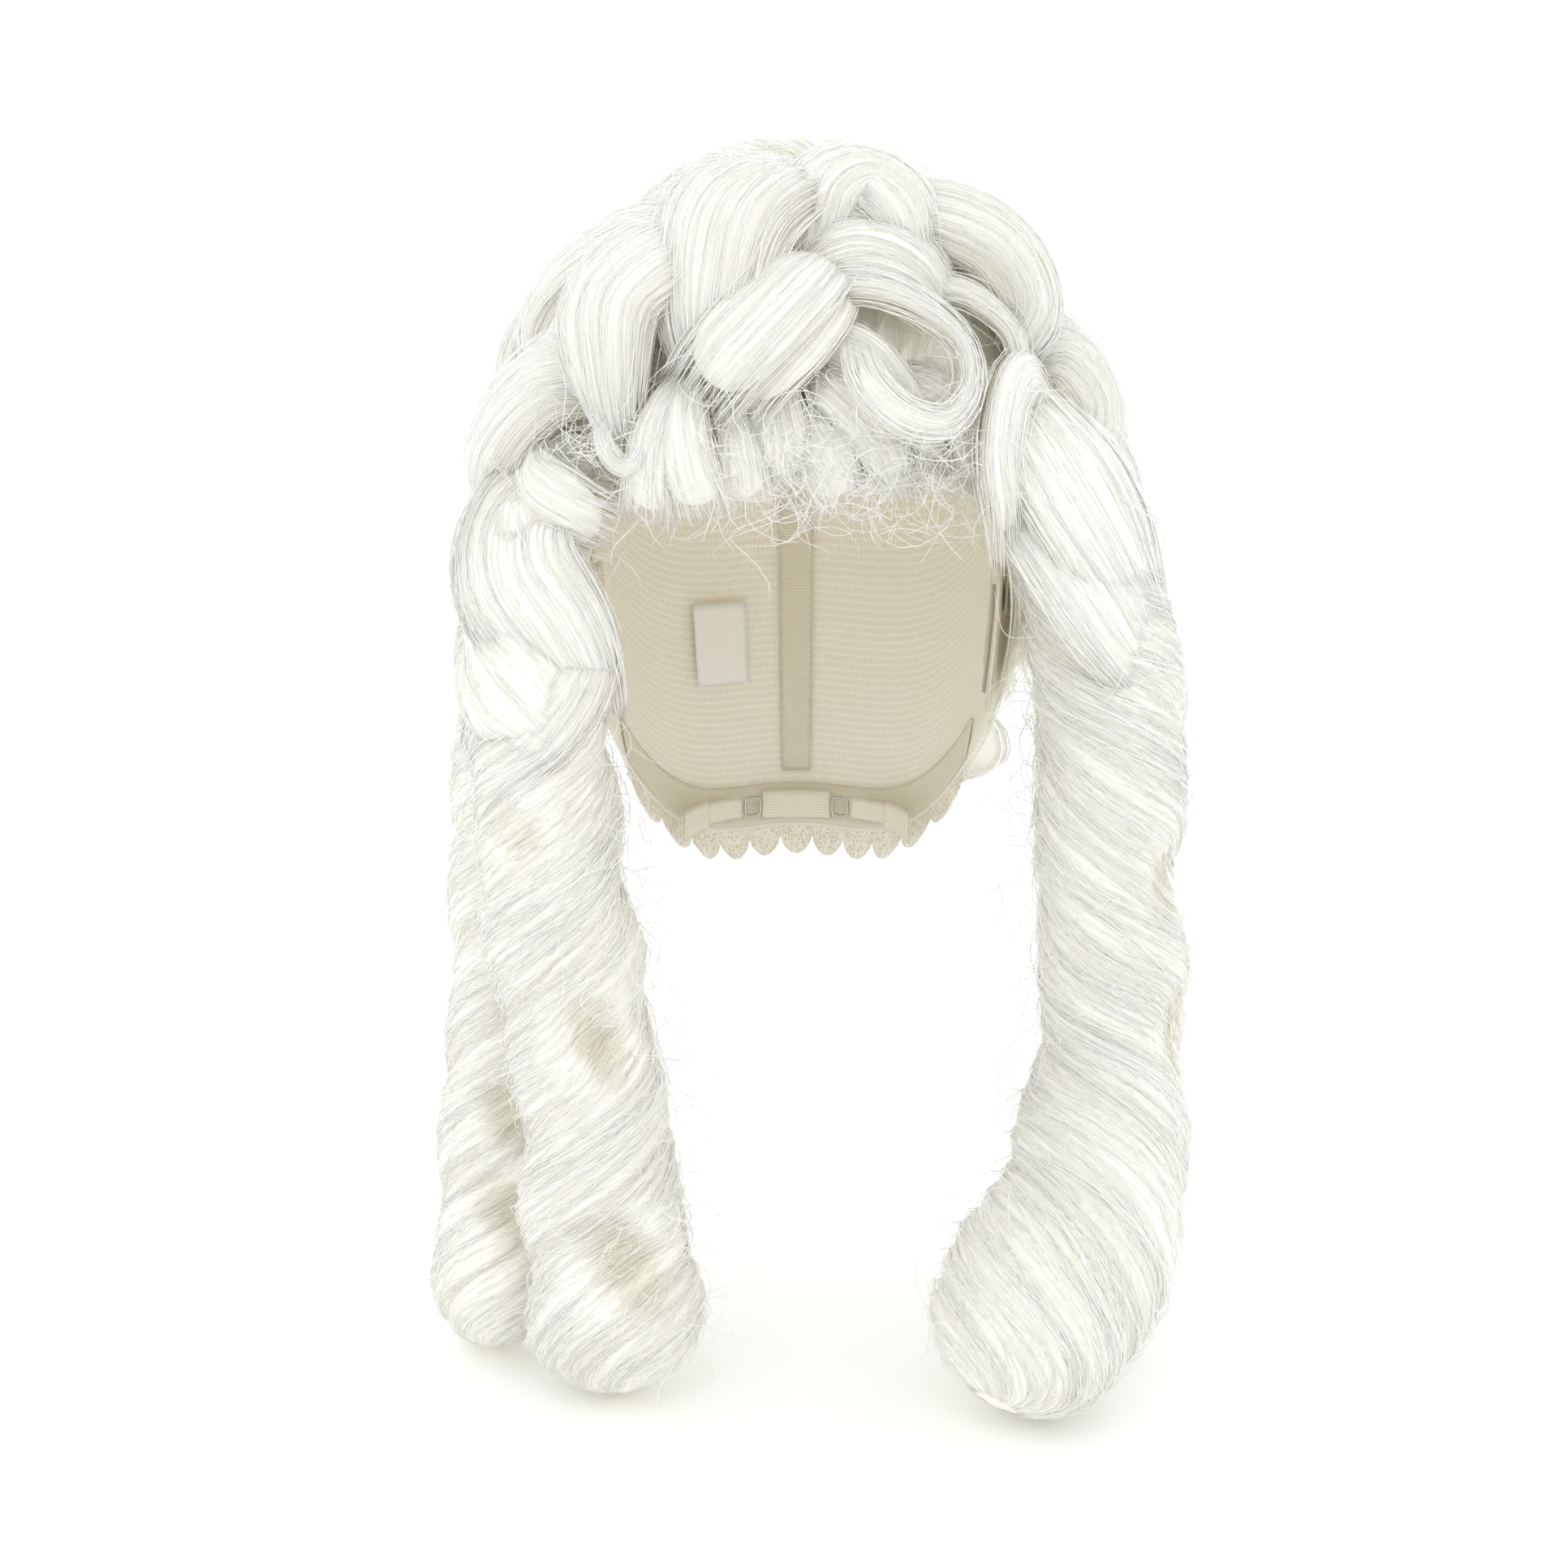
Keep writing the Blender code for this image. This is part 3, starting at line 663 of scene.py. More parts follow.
def furrows(rng):
    """A clump pattern: how far the lock's surface stands out round it and along it."""
    sizes = ((3, 0.030), (5, 0.030), (9, 0.020), (17, 0.014), (29, 0.009))
    waves = [(count, rng.uniform(0.0, FULL_TURN), rng.normal(0.0, 1.2), size) for count, size in sizes]

    def height(turn, part):
        total = np.ones_like(turn)
        for count, phase, drift, size in waves:
            total = total + size * np.cos(count * turn + phase + drift * FULL_TURN * part)
        return total

    return height


def section_spot(run, part, turn, deep):
    """A point in a lock's oval section: turn 0 is its edge, a quarter turn is its outer side."""
    spot, _, across, outward, wide, thick = run.read(part)
    spot = spot + across * (wide * deep * np.cos(turn))[..., None]
    return spot + outward * (thick * deep * np.sin(turn))[..., None]


def lock_bed(name, run, clumps, inset=0.92, finish=0.95):
    """The closed skin under a lock's fibres."""
    steps = int(np.clip(run.length / 0.0022, 24, 90))

    def place(along, around):
        part = 0.02 + (finish - 0.02) * along
        blunt = np.where(along > 0.5, 5.0, 9.0)
        ends = np.sqrt(np.clip(1.0 - np.abs(2.0 * along - 1.0) ** blunt, 0.0, 1.0))
        turn = around * FULL_TURN
        return section_spot(run, part, turn, inset * ends * clumps(turn, part))

    def pattern(along, around):
        return np.column_stack((along * run.length, around * 0.055))

    mesh = grid_mesh(name, steps, 40, place, pattern)
    mark(mesh, "tone_and_shade", np.full(len(mesh.vertices), 0.35))
    return mesh


def lock_fibres(name, run, clumps, rng, cover=1.0, inner=0.12, ragged=0.05, winding=0.0, halo=0.12):
    """Fibres laid over a lock, drawn together in clumps towards the tip.

    Inner is the share that lies inside the lock, ragged how unevenly the tips are cut, winding the
    turns (radians) that the fibres make round it, and halo the share that stands off it.
    """
    settings = bpy.context.scene.wig_fibre
    _, _, _, _, wide, thick = run.read(np.linspace(0.1, 0.9, 9))
    girth = FULL_TURN * np.sqrt((wide**2 + thick**2) / 2.0).mean()
    count = max(30, int(cover * settings.cover * girth / settings.fibre_width))
    points = int(np.clip(run.turning / 13.0 + 4, 8, 24))
    turn = (np.arange(count) + rng.random(count)) / count * FULL_TURN
    buried = rng.random(count) < inner
    deep = np.where(buried, np.sqrt(rng.random(count)) * 0.85, rng.uniform(0.95, 1.03, count))
    start = rng.random(count) ** 2 * ROOT_SPREAD
    stop = 1.0 + ragged * (rng.random(count) - 0.9) - (rng.random(count) < 0.35) * rng.random(count) * 0.30
    part = start[:, None] + (stop - start)[:, None] * np.linspace(0.0, 1.0, points)
    group = FULL_TURN / CLUMPS_ROUND
    center = np.round(turn / group) * group
    pull = 0.35 * np.clip(part, 0.0, 1.0) ** 2
    place = turn[:, None] + (center - turn)[:, None] * pull
    place = place + (winding + rng.normal(0.0, 0.10, count))[:, None] * part
    loose = (rng.random(count) < halo) * rng.random(count)
    beat = rng.uniform(0.6, 2.0, (count, 2))
    phase = rng.uniform(0.0, FULL_TURN, (count, 2))
    sway = rng.normal(0.0, FIBRE_SWAY, (count, 2)) * (1.0 + 5.0 * loose[:, None])
    spot = section_spot(run, part, place, deep[:, None] * clumps(place, part))
    _, _, across, outward, _, _ = run.read(part)
    wave = sway[:, None, :] * np.sin(FULL_TURN * beat[:, None, :] * part[..., None] + phase[:, None, :])
    puff = (HALO_REACH * loose)[:, None] * np.sin(math.pi * np.clip(part, 0.0, 1.0)) ** 0.5
    spot = spot + across * (wave[..., :1] + (puff * np.cos(place))[..., None])
    spot = spot + outward * (wave[..., 1:] + (puff * np.sin(place))[..., None])
    # Each fibre's tone varies at random, with painted shade on top: buried fibres and the lock's side
    # towards the head are warmer and darker, and its outer side is lighter.
    tones = (rng.normal(0.60, 0.06, count) - 0.25 * buried)[:, None] + 0.60 * np.sin(place)
    return fibre_mesh(name, spot, settings.fibre_width, np.clip(tones, 0.0, 1.0), blunt=True)


def hair_lock(name, runs, **style):
    """A finished lock that stands for the CAD node of its name."""
    meshes = []
    for number, run in enumerate(runs):
        rng = dice(name + str(number))
        clumps = furrows(rng)
        finish = style.get("finish", 0.95)
        meshes.append(lock_bed(name, run, clumps, style.get("inset", 0.92), finish))
        laid = {key: value for key, value in style.items() if key not in ("finish", "inset")}
        meshes.append(lock_fibres(name, run, clumps, rng, **laid))
    made = join(name + "_hair", meshes, bed_look(), fibre_look())
    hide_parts(name)
    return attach(made, "cap")


# ---------------------------------------------------------------------------------------------
# Ringlets


def ringlet_shape(run, facts):
    """How far a ringlet's surface stands from its centre line, round it and down it."""
    pitch = facts["pitch"] * MM

    def height(turn, part):
        down = part * run.length
        lead = facts["bands"] * (down / pitch - facts["winding"] * turn / FULL_TURN) + facts["start"]
        across_band = lead - np.floor(lead)
        rope = np.clip(np.sin(math.pi * across_band**1.25), 0.0, 1.0) ** 0.55
        total = 1.0 - facts["depth"] * (1.0 - rope)
        for low, place, tall, wide, depth in facts["hollows"]:
            offset = (np.degrees(turn) - place + 180.0) % 360.0 - 180.0
            slant = (down / MM - low + facts["winding"] * offset * 0.10) / tall
            total = total - depth * np.exp(-(slant**2 + (offset / wide) ** 2) ** 1.5)
        return total

    return height


def ringlet_radius(run, part):
    """The ringlet's own radius as a share of its route's: round at the foot, gathered at the top."""
    foot = run.rows[-1, 12]
    left = (1.0 - part) * run.length / foot
    round_foot = np.sqrt(np.clip(1.0 - np.clip(1.0 - left, 0.0, 1.0) ** 2, 0.0, 1.0))
    top = np.clip(part * run.length / (0.6 * run.rows[0, 12]), 0.0, 1.0)
    return round_foot * np.sqrt(np.clip(1.0 - (1.0 - top) ** 2, 0.0, 1.0))


def ringlet_run(route):
    """The route goes on by most of its last radius, so that the round foot ends there."""
    before, last = np.array(route[-2], float), np.array(route[-1], float)
    step = unit(last[:3] - before[:3]) * last[3] * FOOT_SHARE
    return free_run((*route, (*(last[:3] + step), last[3])), np.array((0.0, -1.0, 0.0)))


def ringlet_bed(name, run, facts, shape, ripple, inset=0.96):
    """The closed skin under a ringlet's fibres."""
    pitch = facts["pitch"] * MM

    def place(along, around):
        turn = around * FULL_TURN
        deep = inset * ringlet_radius(run, along) * shape(turn, along) * ripple(turn, along)
        return section_spot(run, along, turn, deep)

    def pattern(along, around):
        down = along * run.length
        return np.column_stack((down * 1.4, (around - facts["winding"] * down / pitch) * 0.16))

    mesh = grid_mesh(name, 150, 72, place, pattern)
    mark(mesh, "tone_and_shade", np.full(len(mesh.vertices), 0.4))
    return mesh


def ringlet_ripple(rng, facts, run):
    """Fine clumps that run with the winding."""
    pitch = facts["pitch"] * MM
    sizes = ((7, 0.012), (13, 0.010), (29, 0.008))
    waves = [(count, rng.uniform(0.0, FULL_TURN), size) for count, size in sizes]
    slow = [(rng.uniform(0.0, FULL_TURN), rng.uniform(2.0, 5.0), count) for count in (1, 2, 3)]

    def height(turn, part):
        thread = turn - facts["winding"] * FULL_TURN * part * run.length / pitch
        total = np.ones_like(turn)
        for count, phase, size in waves:
            total = total + size * np.cos(count * thread + phase)
        for phase, beat, count in slow:
            total = total + 0.022 * np.cos(count * turn + phase + beat * FULL_TURN * part)
        return total

    return height


def ringlet_fibres(name, run, facts, shape, ripple, rng, cover=1.0):
    """Fibres that wind down the ringlet, each for part of a turn, and tuck under at the foot."""
    settings = bpy.context.scene.wig_fibre
    pitch = facts["pitch"] * MM
    girth = FULL_TURN * run.rows[:, 12].mean()
    slope = math.atan2(pitch, girth)
    drop = np.array(RINGLET_FALL)
    fibre_length = drop.mean() / math.sin(slope)
    area = girth * run.length
    count = int(cover * settings.cover * area / (settings.fibre_width * fibre_length))
    points = 15
    top = (np.arange(count) + rng.random(count)) / count * (run.length + RINGLET_LEAD_IN) - RINGLET_LEAD_IN
    fall = rng.uniform(drop[0], drop[1], count)
    low = np.clip(top, 0.0, run.length - SHORTEST_FALL)
    high = np.clip(top + fall, low + SHORTEST_FALL, run.length - FOOT_MARGIN)
    down = low[:, None] + (high - low)[:, None] * np.linspace(0.0, 1.0, points)
    part = down / run.length
    turn0 = rng.uniform(0.0, FULL_TURN, count)
    tighter = rng.normal(1.0, 0.22, count)
    turn = turn0[:, None] + facts["winding"] * FULL_TURN * (down - low[:, None]) / pitch * tighter[:, None]
    ends = np.linspace(-1.0, 1.0, points) ** 2
    deep = rng.uniform(0.98, 1.01, count)[:, None] - 0.03 * ends
    loose = (rng.random(count) < 0.12) * rng.random(count)
    beat = rng.uniform(0.7, 2.2, (count, 2))
    phase = rng.uniform(0.0, FULL_TURN, (count, 2))
    sway = rng.normal(0.0, 0.28 * MM, (count, 2)) * (1.0 + 4.0 * loose[:, None])
    spread = np.linspace(0.0, 1.0, points)[None, :, None]
    wave = sway[:, None, :] * np.sin(FULL_TURN * beat[:, None, :] * spread + phase[:, None, :])
    reach = ringlet_radius(run, part) * shape(turn, part) * ripple(turn, part) * deep
    spot = section_spot(run, part, turn + wave[..., 0] / 0.02, reach)
    middle = run.read(part)[0]
    puff = (3.5 * MM * loose)[:, None] * np.sin(math.pi * np.linspace(0.0, 1.0, points)) ** 0.5
    spot = spot + unit(spot - middle) * (wave[..., 1:] + puff[..., None])
    spot[..., 2] = np.maximum(spot[..., 2], CAD_BOX[0].z + FLOOR_MARGIN)
    # Each fibre's tone varies at random, with painted shade on top: fibres are warmer and darker in the
    # grooves between the bands and in the hollows.
    tones = rng.normal(0.94, 0.06, count)[:, None] - 3.0 * np.clip(0.96 - shape(turn, part), 0.0, 0.4)
    return fibre_mesh(name, spot, settings.fibre_width, np.clip(tones, 0.0, 1.0))


# ---------------------------------------------------------------------------------------------
# Materials


def linear(value):
    """A colour channel from display to linear."""
    return value / 12.92 if value <= 0.04045 else ((value + 0.055) / 1.055) ** 2.4


def hex_colour(code):
    """A linear colour from sRGB hex."""
    return tuple(linear(int(code[start:start + 2], 16) / 255.0) for start in (0, 2, 4)) + (1.0,)


def add_node(tree, kind, links=(), **settings):
    """A node with its settings, and links given as (socket, source node, output)."""
    made = tree.nodes.new("ShaderNode" + kind)
    for key, value in settings.items():
        if key.startswith("in_"):
            made.inputs[key[3:].replace("_", " ")].default_value = value
        else:
            setattr(made, key, value)
    for socket, source, output in links:
        tree.links.new(source.outputs[output], made.inputs[socket])
    return made


def new_look(name):
    """A named material with its shader, or None for the shader if it was made before."""
    found = bpy.data.materials.get(name)
    if found:
        return found, None
    made = bpy.data.materials.new(name)
    made.use_nodes = True
    return made, made.node_tree.nodes["Principled BSDF"]


def two_tone(tree, factor, dark, light):
    """A colour between two, by a node's factor."""
    mix = add_node(tree, "Mix", (("Factor", factor, "Fac"),), data_type="RGBA")
    mix.inputs["A"].default_value = dark
    mix.inputs["B"].default_value = light
    return mix.outputs["Result"]


def surface(tree, shader, colour, bump, roughness):
    """Gives the shader its colour, its relief and its roughness."""
    tree.links.new(colour, shader.inputs["Base Color"])
    tree.links.new(bump.outputs["Normal"], shader.inputs["Normal"])
    shader.inputs["Roughness"].default_value = roughness


def modacrylic(shader, roughness, gloss):
    """How modacrylic fibre reflects light and lets a little of it through."""
    shader.inputs["Roughness"].default_value = roughness
    shader.inputs["IOR"].default_value = 1.5
    shader.inputs["Specular IOR Level"].default_value = gloss
    shader.inputs["Subsurface Weight"].default_value = 0.3
    shader.inputs["Subsurface Radius"].default_value = (1.0, 0.95, 0.8)
    shader.inputs["Subsurface Scale"].default_value = 0.0015


def fibre_look():
    """Extruded modacrylic fibre: ivory, satin, each strand a little different in tone, with painted shade
    in the same colour mix: warmer on a lock's side towards the head, in buried fibres and in ringlet
    grooves.
    """
    made, shader = new_look("modacrylic_fibre_extruded")
    if shader is None:
        return made
    tree = made.node_tree
    colours = bpy.context.scene.wig_colours
    tone_and_shade = add_node(tree, "Attribute", attribute_name="tone_and_shade")
    colour = two_tone(tree, tone_and_shade, (*colours.fibre_warm, 1.0), (*colours.fibre, 1.0))
    tree.links.new(colour, shader.inputs["Base Color"])
    modacrylic(shader, 0.45, 0.35)
    return made


def bed_look():
    """The same fibre combed flat: fine ridges along the comb's path, a few fibres a millimetre. Its colour
    is partly fibre grain and partly painted shade: warmer than the laid fibres over it, and warmest in the
    ridge hollows.
    """
    made, shader = new_look("modacrylic_fibre_combed")
    if shader is None:
        return made
    tree = made.node_tree
    colours = bpy.context.scene.wig_colours
    threads = add_node(tree, "UVMap", uv_map="UVMap")
    # Real fibre is about 0.07 mm; the ridges are drawn 0.5 mm apart so that they show.
    stretch = add_node(tree, "Mapping", (("Vector", threads, "UV"),), in_Scale=(55.0, 1900.0, 1.0))
    path = (("Vector", stretch, "Vector"),)
    ridge = add_node(tree, "TexNoise", path, in_Scale=1.0, in_Detail=2.0, in_Roughness=0.6)
    # Painted shade: the bed runs from the warm ivory only halfway to the light one, with the warm end in
    # the ridge hollows.
    between = [0.5 * (a + b) for a, b in zip(colours.fibre, colours.fibre_warm)]
    colour = two_tone(tree, ridge, (*colours.fibre_warm, 1.0), (*between, 1.0))
    bump = add_node(tree, "Bump", (("Height", ridge, "Fac"),), in_Strength=0.45, in_Distance=0.0005)
    surface(tree, shader, colour, bump, 0.5)
    modacrylic(shader, 0.5, 0.3)
    return made


# ---------------------------------------------------------------------------------------------
# Operators


class WigPieceOperator:
    """What every builder shares"""

    bl_options = {"REGISTER", "UNDO"}


class BuildRinglets(WigPieceOperator, bpy.types.Operator):
    """Four hanging ringlets"""

    bl_idname = "wig.build_ringlets"
    bl_label = "Ringlets"

    def execute(self, context):
        for name, facts in RINGLETS.items():
            rng = dice(name)
            run = ringlet_run(facts["route"])
            shape = ringlet_shape(run, facts)
            ripple = ringlet_ripple(rng, facts, run)
            cover = 1.0 if "front" in name else 0.8
            meshes = [
                ringlet_bed(name, run, facts, shape, ripple),
                ringlet_fibres(name, run, facts, shape, ripple, rng, cover),
            ]
            meshes.append(ringlet_flyaways(name, run, rng, -1.0 if "right" in name else 1.0))
            made = join(name + "_hair", meshes, bed_look(), fibre_look())
            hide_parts(*facts["replaces"])
            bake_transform(made)
        return {"FINISHED"}


class BuildRoots(WigPieceOperator, bpy.types.Operator):
    """The gathered hair that the front ringlets hang from"""

    bl_idname = "wig.build_roots"
    bl_label = "Ringlet roots"

    def execute(self, context):
        name = "ringlet_root_left_front"
        rng = dice(name)
        facts = {"winding": -1.0, "pitch": 170.0, "start": 0.6, "bands": 1, "depth": 0.10, "hollows": ()}
        run = free_run(LEFT_ROOT_ROUTE, np.array((0.0, -1.0, 0.0)))
        shape = ringlet_shape(run, facts)
        ripple = ringlet_ripple(rng, facts, run)
        meshes = [
            ringlet_bed(name, run, facts, shape, ripple),
            ringlet_fibres(name, run, facts, shape, ripple, rng, 0.6),
        ]
        for guides in LEFT_ROOT_LOCKS:
            sweep = free_run(guides, unit(np.array((-0.35, -1.0, 0.1))))
            clumps = furrows(rng)
            meshes += [lock_bed(name, sweep, clumps), lock_fibres(name, sweep, clumps, rng)]
        made = join(name + "_hair", meshes, bed_look(), fibre_look())
        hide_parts(name)
        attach(made, "cap")
        for name, locks in RIGHT_ROOT_LOCKS.items():
            hair_lock(name, [free_run(guides, unit(np.array((0.7, -1.0, 0.2)))) for guides in locks])
        return {"FINISHED"}


class BuildCrownLocks(WigPieceOperator, bpy.types.Operator):
    """The rolls that sweep off the parting"""

    bl_idname = "wig.build_crown_locks"
    bl_label = "Crown locks"

    def execute(self, context):
        for name, locks in CROWN_LOCKS.items():
            tip = {"finish": 0.86, "inner": 0.35, "ragged": 0.14} if "tip" in name else {}
            hair_lock(name, [dome_run(guides) for guides in locks], **tip)
        hair_lock("crown_curl", [dome_run(CROWN_CURL)], winding=9.0, cover=0.8)
        return {"FINISHED"}


class BuildTempleLocks(WigPieceOperator, bpy.types.Operator):
    """The rolls down each temple"""

    bl_idname = "wig.build_temple_locks"
    bl_label = "Temple locks"

    def execute(self, context):
        for name, locks in TEMPLE_LOCKS.items():
            runs = [dome_run(guides) for guides in locks]
            if name.endswith("_3"):
                side = -1.0 if "left" in name else 1.0
                runs += [dome_run([(side * row[0], *row[1:]) for row in guides]) for guides in SIDE_LOCKS]
            hair_lock(name, runs, cover=0.5 if name.endswith("_3") else 0.9)
        return {"FINISHED"}


class BuildFringe(WigPieceOperator, bpy.types.Operator):
    """The cut tufts and short locks over the brow"""

    bl_idname = "wig.build_fringe"
    bl_label = "Fringe"

    def execute(self, context):
        for name, locks in FRINGE_LOCKS.items():
            runs = [dome_run(guides) for guides in locks]
            hair_lock(name, runs, finish=0.88, inner=0.35, ragged=0.14, halo=0.2)
        return {"FINISHED"}


class BuildRingCurls(WigPieceOperator, bpy.types.Operator):
    """The two open ring curls on the right of the brow"""

    bl_idname = "wig.build_ring_curls"
    bl_label = "Ring curls"

    def execute(self, context):
        for name, guides in RING_LOCKS.items():
            hair_lock(name, [dome_run(guides)], finish=0.93, inner=0.3, inset=0.7, halo=0.4)
        return {"FINISHED"}


class BuildBackCurls(WigPieceOperator, bpy.types.Operator):
    """Rows of barrel curls over the back of the cap"""

    bl_idname = "wig.build_back_curls"
    bl_label = "Back curls"

    def execute(self, context):
        for number, (rise, count, first, last) in enumerate(BACK_ROWS, start=1):
            name = "back_curl_row_%d" % number
            rng = dice(name)
            meshes = []
            shift = 8.0 if number % 2 else -8.0
            for index in range(count):
                start = first + shift + (last - first) * index / count
                end = first + shift + (last - first) * (index + 1) / count
                meshes += barrel_curl(name, rise, start, end, rng)
            made = join(name + "_hair", meshes, bed_look(), fibre_look())
            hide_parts(name)
            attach(made, "cap")
        return {"FINISHED"}


def barrel_curl(name, rise, start, end, rng):
    """One rolled curl lying round the head: its fibres come off the scalp and roll under."""
    settings = bpy.context.scene.wig_fibre
    lift = BACK_CURL_LIFT + rng.normal(0.0, 0.0008)
    rise = rise + rng.normal(0.0, 0.8)
    tilt = rng.normal(0.0, 1.6)
    along_curl = np.linspace(-1.0, 1.0, 60)
    turns = np.linspace(start, end, len(along_curl))
    spots = dome_points(turns, rise + tilt * along_curl, lift)
    sizes = np.full((len(along_curl), 2), BACK_CURL_RADIUS)
    run = Run(spots, sizes, dome_outward)
    clumps = furrows(rng)

    def swell(part):
        return 1.0 - 0.30 * np.abs(2.0 * part - 1.0) ** 3

    def place(along, around):
        ends = np.sqrt(np.clip(1.0 - np.abs(2.0 * along - 1.0) ** 14, 0.0, 1.0))
        turn = around * FULL_TURN
        deep = 0.84 * ends * swell(along) * (0.5 + 0.5 * clumps(turn, along))
        return section_spot(run, 0.02 + 0.96 * along, turn, deep)

    def pattern(along, around):
        return np.column_stack((around * FULL_TURN * BACK_CURL_RADIUS, along * run.length))

    bed = grid_mesh(name, 20, 28, place, pattern)
    mark(bed, "tone_and_shade", np.full(len(bed.vertices), 0.35))
    count = int(0.52 * settings.cover * run.length / settings.fibre_width)
    points = 14
    part = np.clip((np.arange(count) + rng.random(count)) / count, 0.01, 0.99)
    steps = np.linspace(0.0, 1.0, points)
    roll = math.radians(125.0) - np.radians(rng.uniform(400.0, 470.0, count))[:, None] * steps
    drift = part[:, None] + rng.normal(0.0, 0.035, count)[:, None] * steps
    drift = drift + 0.05 * steps * np.sin(9.0 * part)[:, None]
    deep = (rng.uniform(0.93, 1.06, count)[:, None] - 0.30 * steps**1.5) * swell(drift)
    beat = FULL_TURN * rng.uniform(0.5, 1.5, count)[:, None]
    wave = 0.02 * np.sin(beat * steps + rng.uniform(0, 6, count)[:, None])
    ridge = 1.0 + 0.035 * np.sin(41.0 * drift + rng.uniform(0, 6)) + 0.03 * np.sin(23.0 * drift)
    spot = section_spot(run, np.clip(drift, 0.0, 1.0), roll, deep * ridge + wave)
    tones = np.clip(rng.normal(0.62, 0.13, count), 0.0, 1.0)
    return [bed, fibre_mesh(name, spot, settings.fibre_width * 1.15, tones)]


def settle(value, low, high):
    """0 below low, 1 above high, and a smooth rise between."""
    part = np.clip((value - low) / (high - low), 0.0, 1.0)
    return part * part * (3.0 - 2.0 * part)


def under_lift(azimuth, elevation):
    """How proud the hair under the locks lies (metres): thin at the hairline, full over the temples."""
    azimuth = (np.asarray(azimuth) + 180.0) % 360.0 - 180.0
    above = elevation - elevation_at(rim_height(azimuth))
    side = settle(np.abs(azimuth), 20.0, 75.0) * (1.0 - settle(np.abs(azimuth), 100.0, 122.0))
    top = settle(elevation, 38.0, 55.0) * (1.0 - settle(np.abs(azimuth), 30.0, 60.0))
    full = 9.0 + 7.5 * side + 4.0 * settle(elevation, 28.0, 55.0) + 5.0 * top
    lumps = 1.0 + 0.10 * np.sin(np.radians(azimuth) * 9.0 + 1.0) * np.cos(np.radians(elevation) * 7.0)
    return MM * (1.6 + full * settle(above, 1.0, 17.0) * lumps)


def under_hair_bed(name, middle, reach):
    """A shell of combed hair over part of the cap."""

    def place(along, around):
        azimuth = middle + reach * (2.0 * along - 1.0)
        low = elevation_at(rim_height(azimuth)) + 0.6
        turn = around * FULL_TURN
        rise = low + (UNDER_HAIR_TOP - low) * (0.5 - 0.5 * np.cos(turn))
        outer = np.sin(turn) > 0.0
        ends = np.clip((1.0 - np.abs(2.0 * along - 1.0)) * 30.0, 0.0, 1.0)
        fullness = (under_lift(azimuth, rise) - UNDER_HAIR_BASE) * np.sqrt(ends)
        lift = np.where(outer, UNDER_HAIR_BASE + fullness, UNDER_HAIR_BASE)
        return dome_points(azimuth, rise, lift)

    def pattern(along, around):
        return np.column_stack((along * 0.34, around * 0.30))

    mesh = grid_mesh(name, 96, 72, place, pattern)
    mark(mesh, "tone_and_shade", np.full(len(mesh.vertices), 0.2))
    return mesh


def under_hair_fibres(name, middle, reach, rng, count):
    """Fibres combed off the parting and back from the brow."""
    settings = bpy.context.scene.wig_fibre
    points = 9
    azimuth = rng.uniform(-reach, reach, count)
    side = np.sign(azimuth) * settle(np.abs(azimuth), 8.0, 45.0)
    azimuth = azimuth + middle
    low = elevation_at(rim_height(azimuth)) + 0.5
    rise = low + (82.0 - low) * rng.random(count) ** 1.15
    heading_across = side * rng.normal(1.0, 0.25, count)
    heading_up = 1.0 - 1.35 * np.abs(side) + rng.normal(0.0, 0.35, count)
    size = np.hypot(heading_across, heading_up)
    span = rng.uniform(14.0, 30.0, count) / size
    steps = np.linspace(0.0, 1.0, points)
    bow = rng.normal(0.0, 5.0, count)[:, None] * np.sin(math.pi * steps)
    run_azimuth = azimuth[:, None] + (heading_across * span)[:, None] * steps + bow * 0.6
    run_rise = rise[:, None] + (heading_up * span)[:, None] * steps + bow
    run_azimuth = np.clip(run_azimuth, middle - reach - 4.0, middle + reach + 4.0)
    run_rise = np.clip(run_rise, elevation_at(rim_height(run_azimuth)) + 0.3, 88.0)
    loose = rng.uniform(0.1, 1.5, count)[:, None] * MM * (0.4 + np.sin(math.pi * steps))
    spot = dome_points(run_azimuth, run_rise, under_lift(run_azimuth, run_rise) + loose)
    tones = np.clip(rng.normal(0.5, 0.2, count), 0.0, 1.0)
    return fibre_mesh(name, spot, settings.fibre_width, tones)


class BuildUnderHair(WigPieceOperator, bpy.types.Operator):
    """The combed hair that fills the spaces between the locks"""

    bl_idname = "wig.build_under_hair"
    bl_label = "Under hair"

    def execute(self, context):
        name = "under_hair"
        rng = dice(name)
        meshes = []
        for middle, reach, count in UNDER_HAIR_PARTS:
            meshes.append(under_hair_bed(name, middle, reach))
            meshes.append(under_hair_fibres(name, middle, reach, rng, count))
        made = join(name, meshes, bed_look(), fibre_look())
        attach(made, "cap")
        return {"FINISHED"}


def stray_paths(starts, aims, lengths, curl, rng, points=13):
    """Loose fibres: each leaves its start along its aim and wanders in loops."""
    count = len(starts)
    steps = np.linspace(0.0, 1.0, points)
    side = unit(np.cross(aims, rng.normal(0.0, 1.0, (count, 3))))
    other = np.cross(aims, side)
    loops = rng.uniform(0.4, 1.5, count)[:, None] * FULL_TURN
    phase = rng.uniform(0.0, FULL_TURN, count)[:, None]
    radius = (curl * rng.uniform(0.3, 1.0, count))[:, None]
    wind = loops * steps + phase
    path = starts[:, None, :] + aims[:, None, :] * (lengths[:, None] * steps)[..., None]
    path = path + side[:, None, :] * (radius * (np.cos(wind) - np.cos(phase)))[..., None]
    path = path + other[:, None, :] * (radius * (np.sin(wind) - np.sin(phase)))[..., None]
    return path


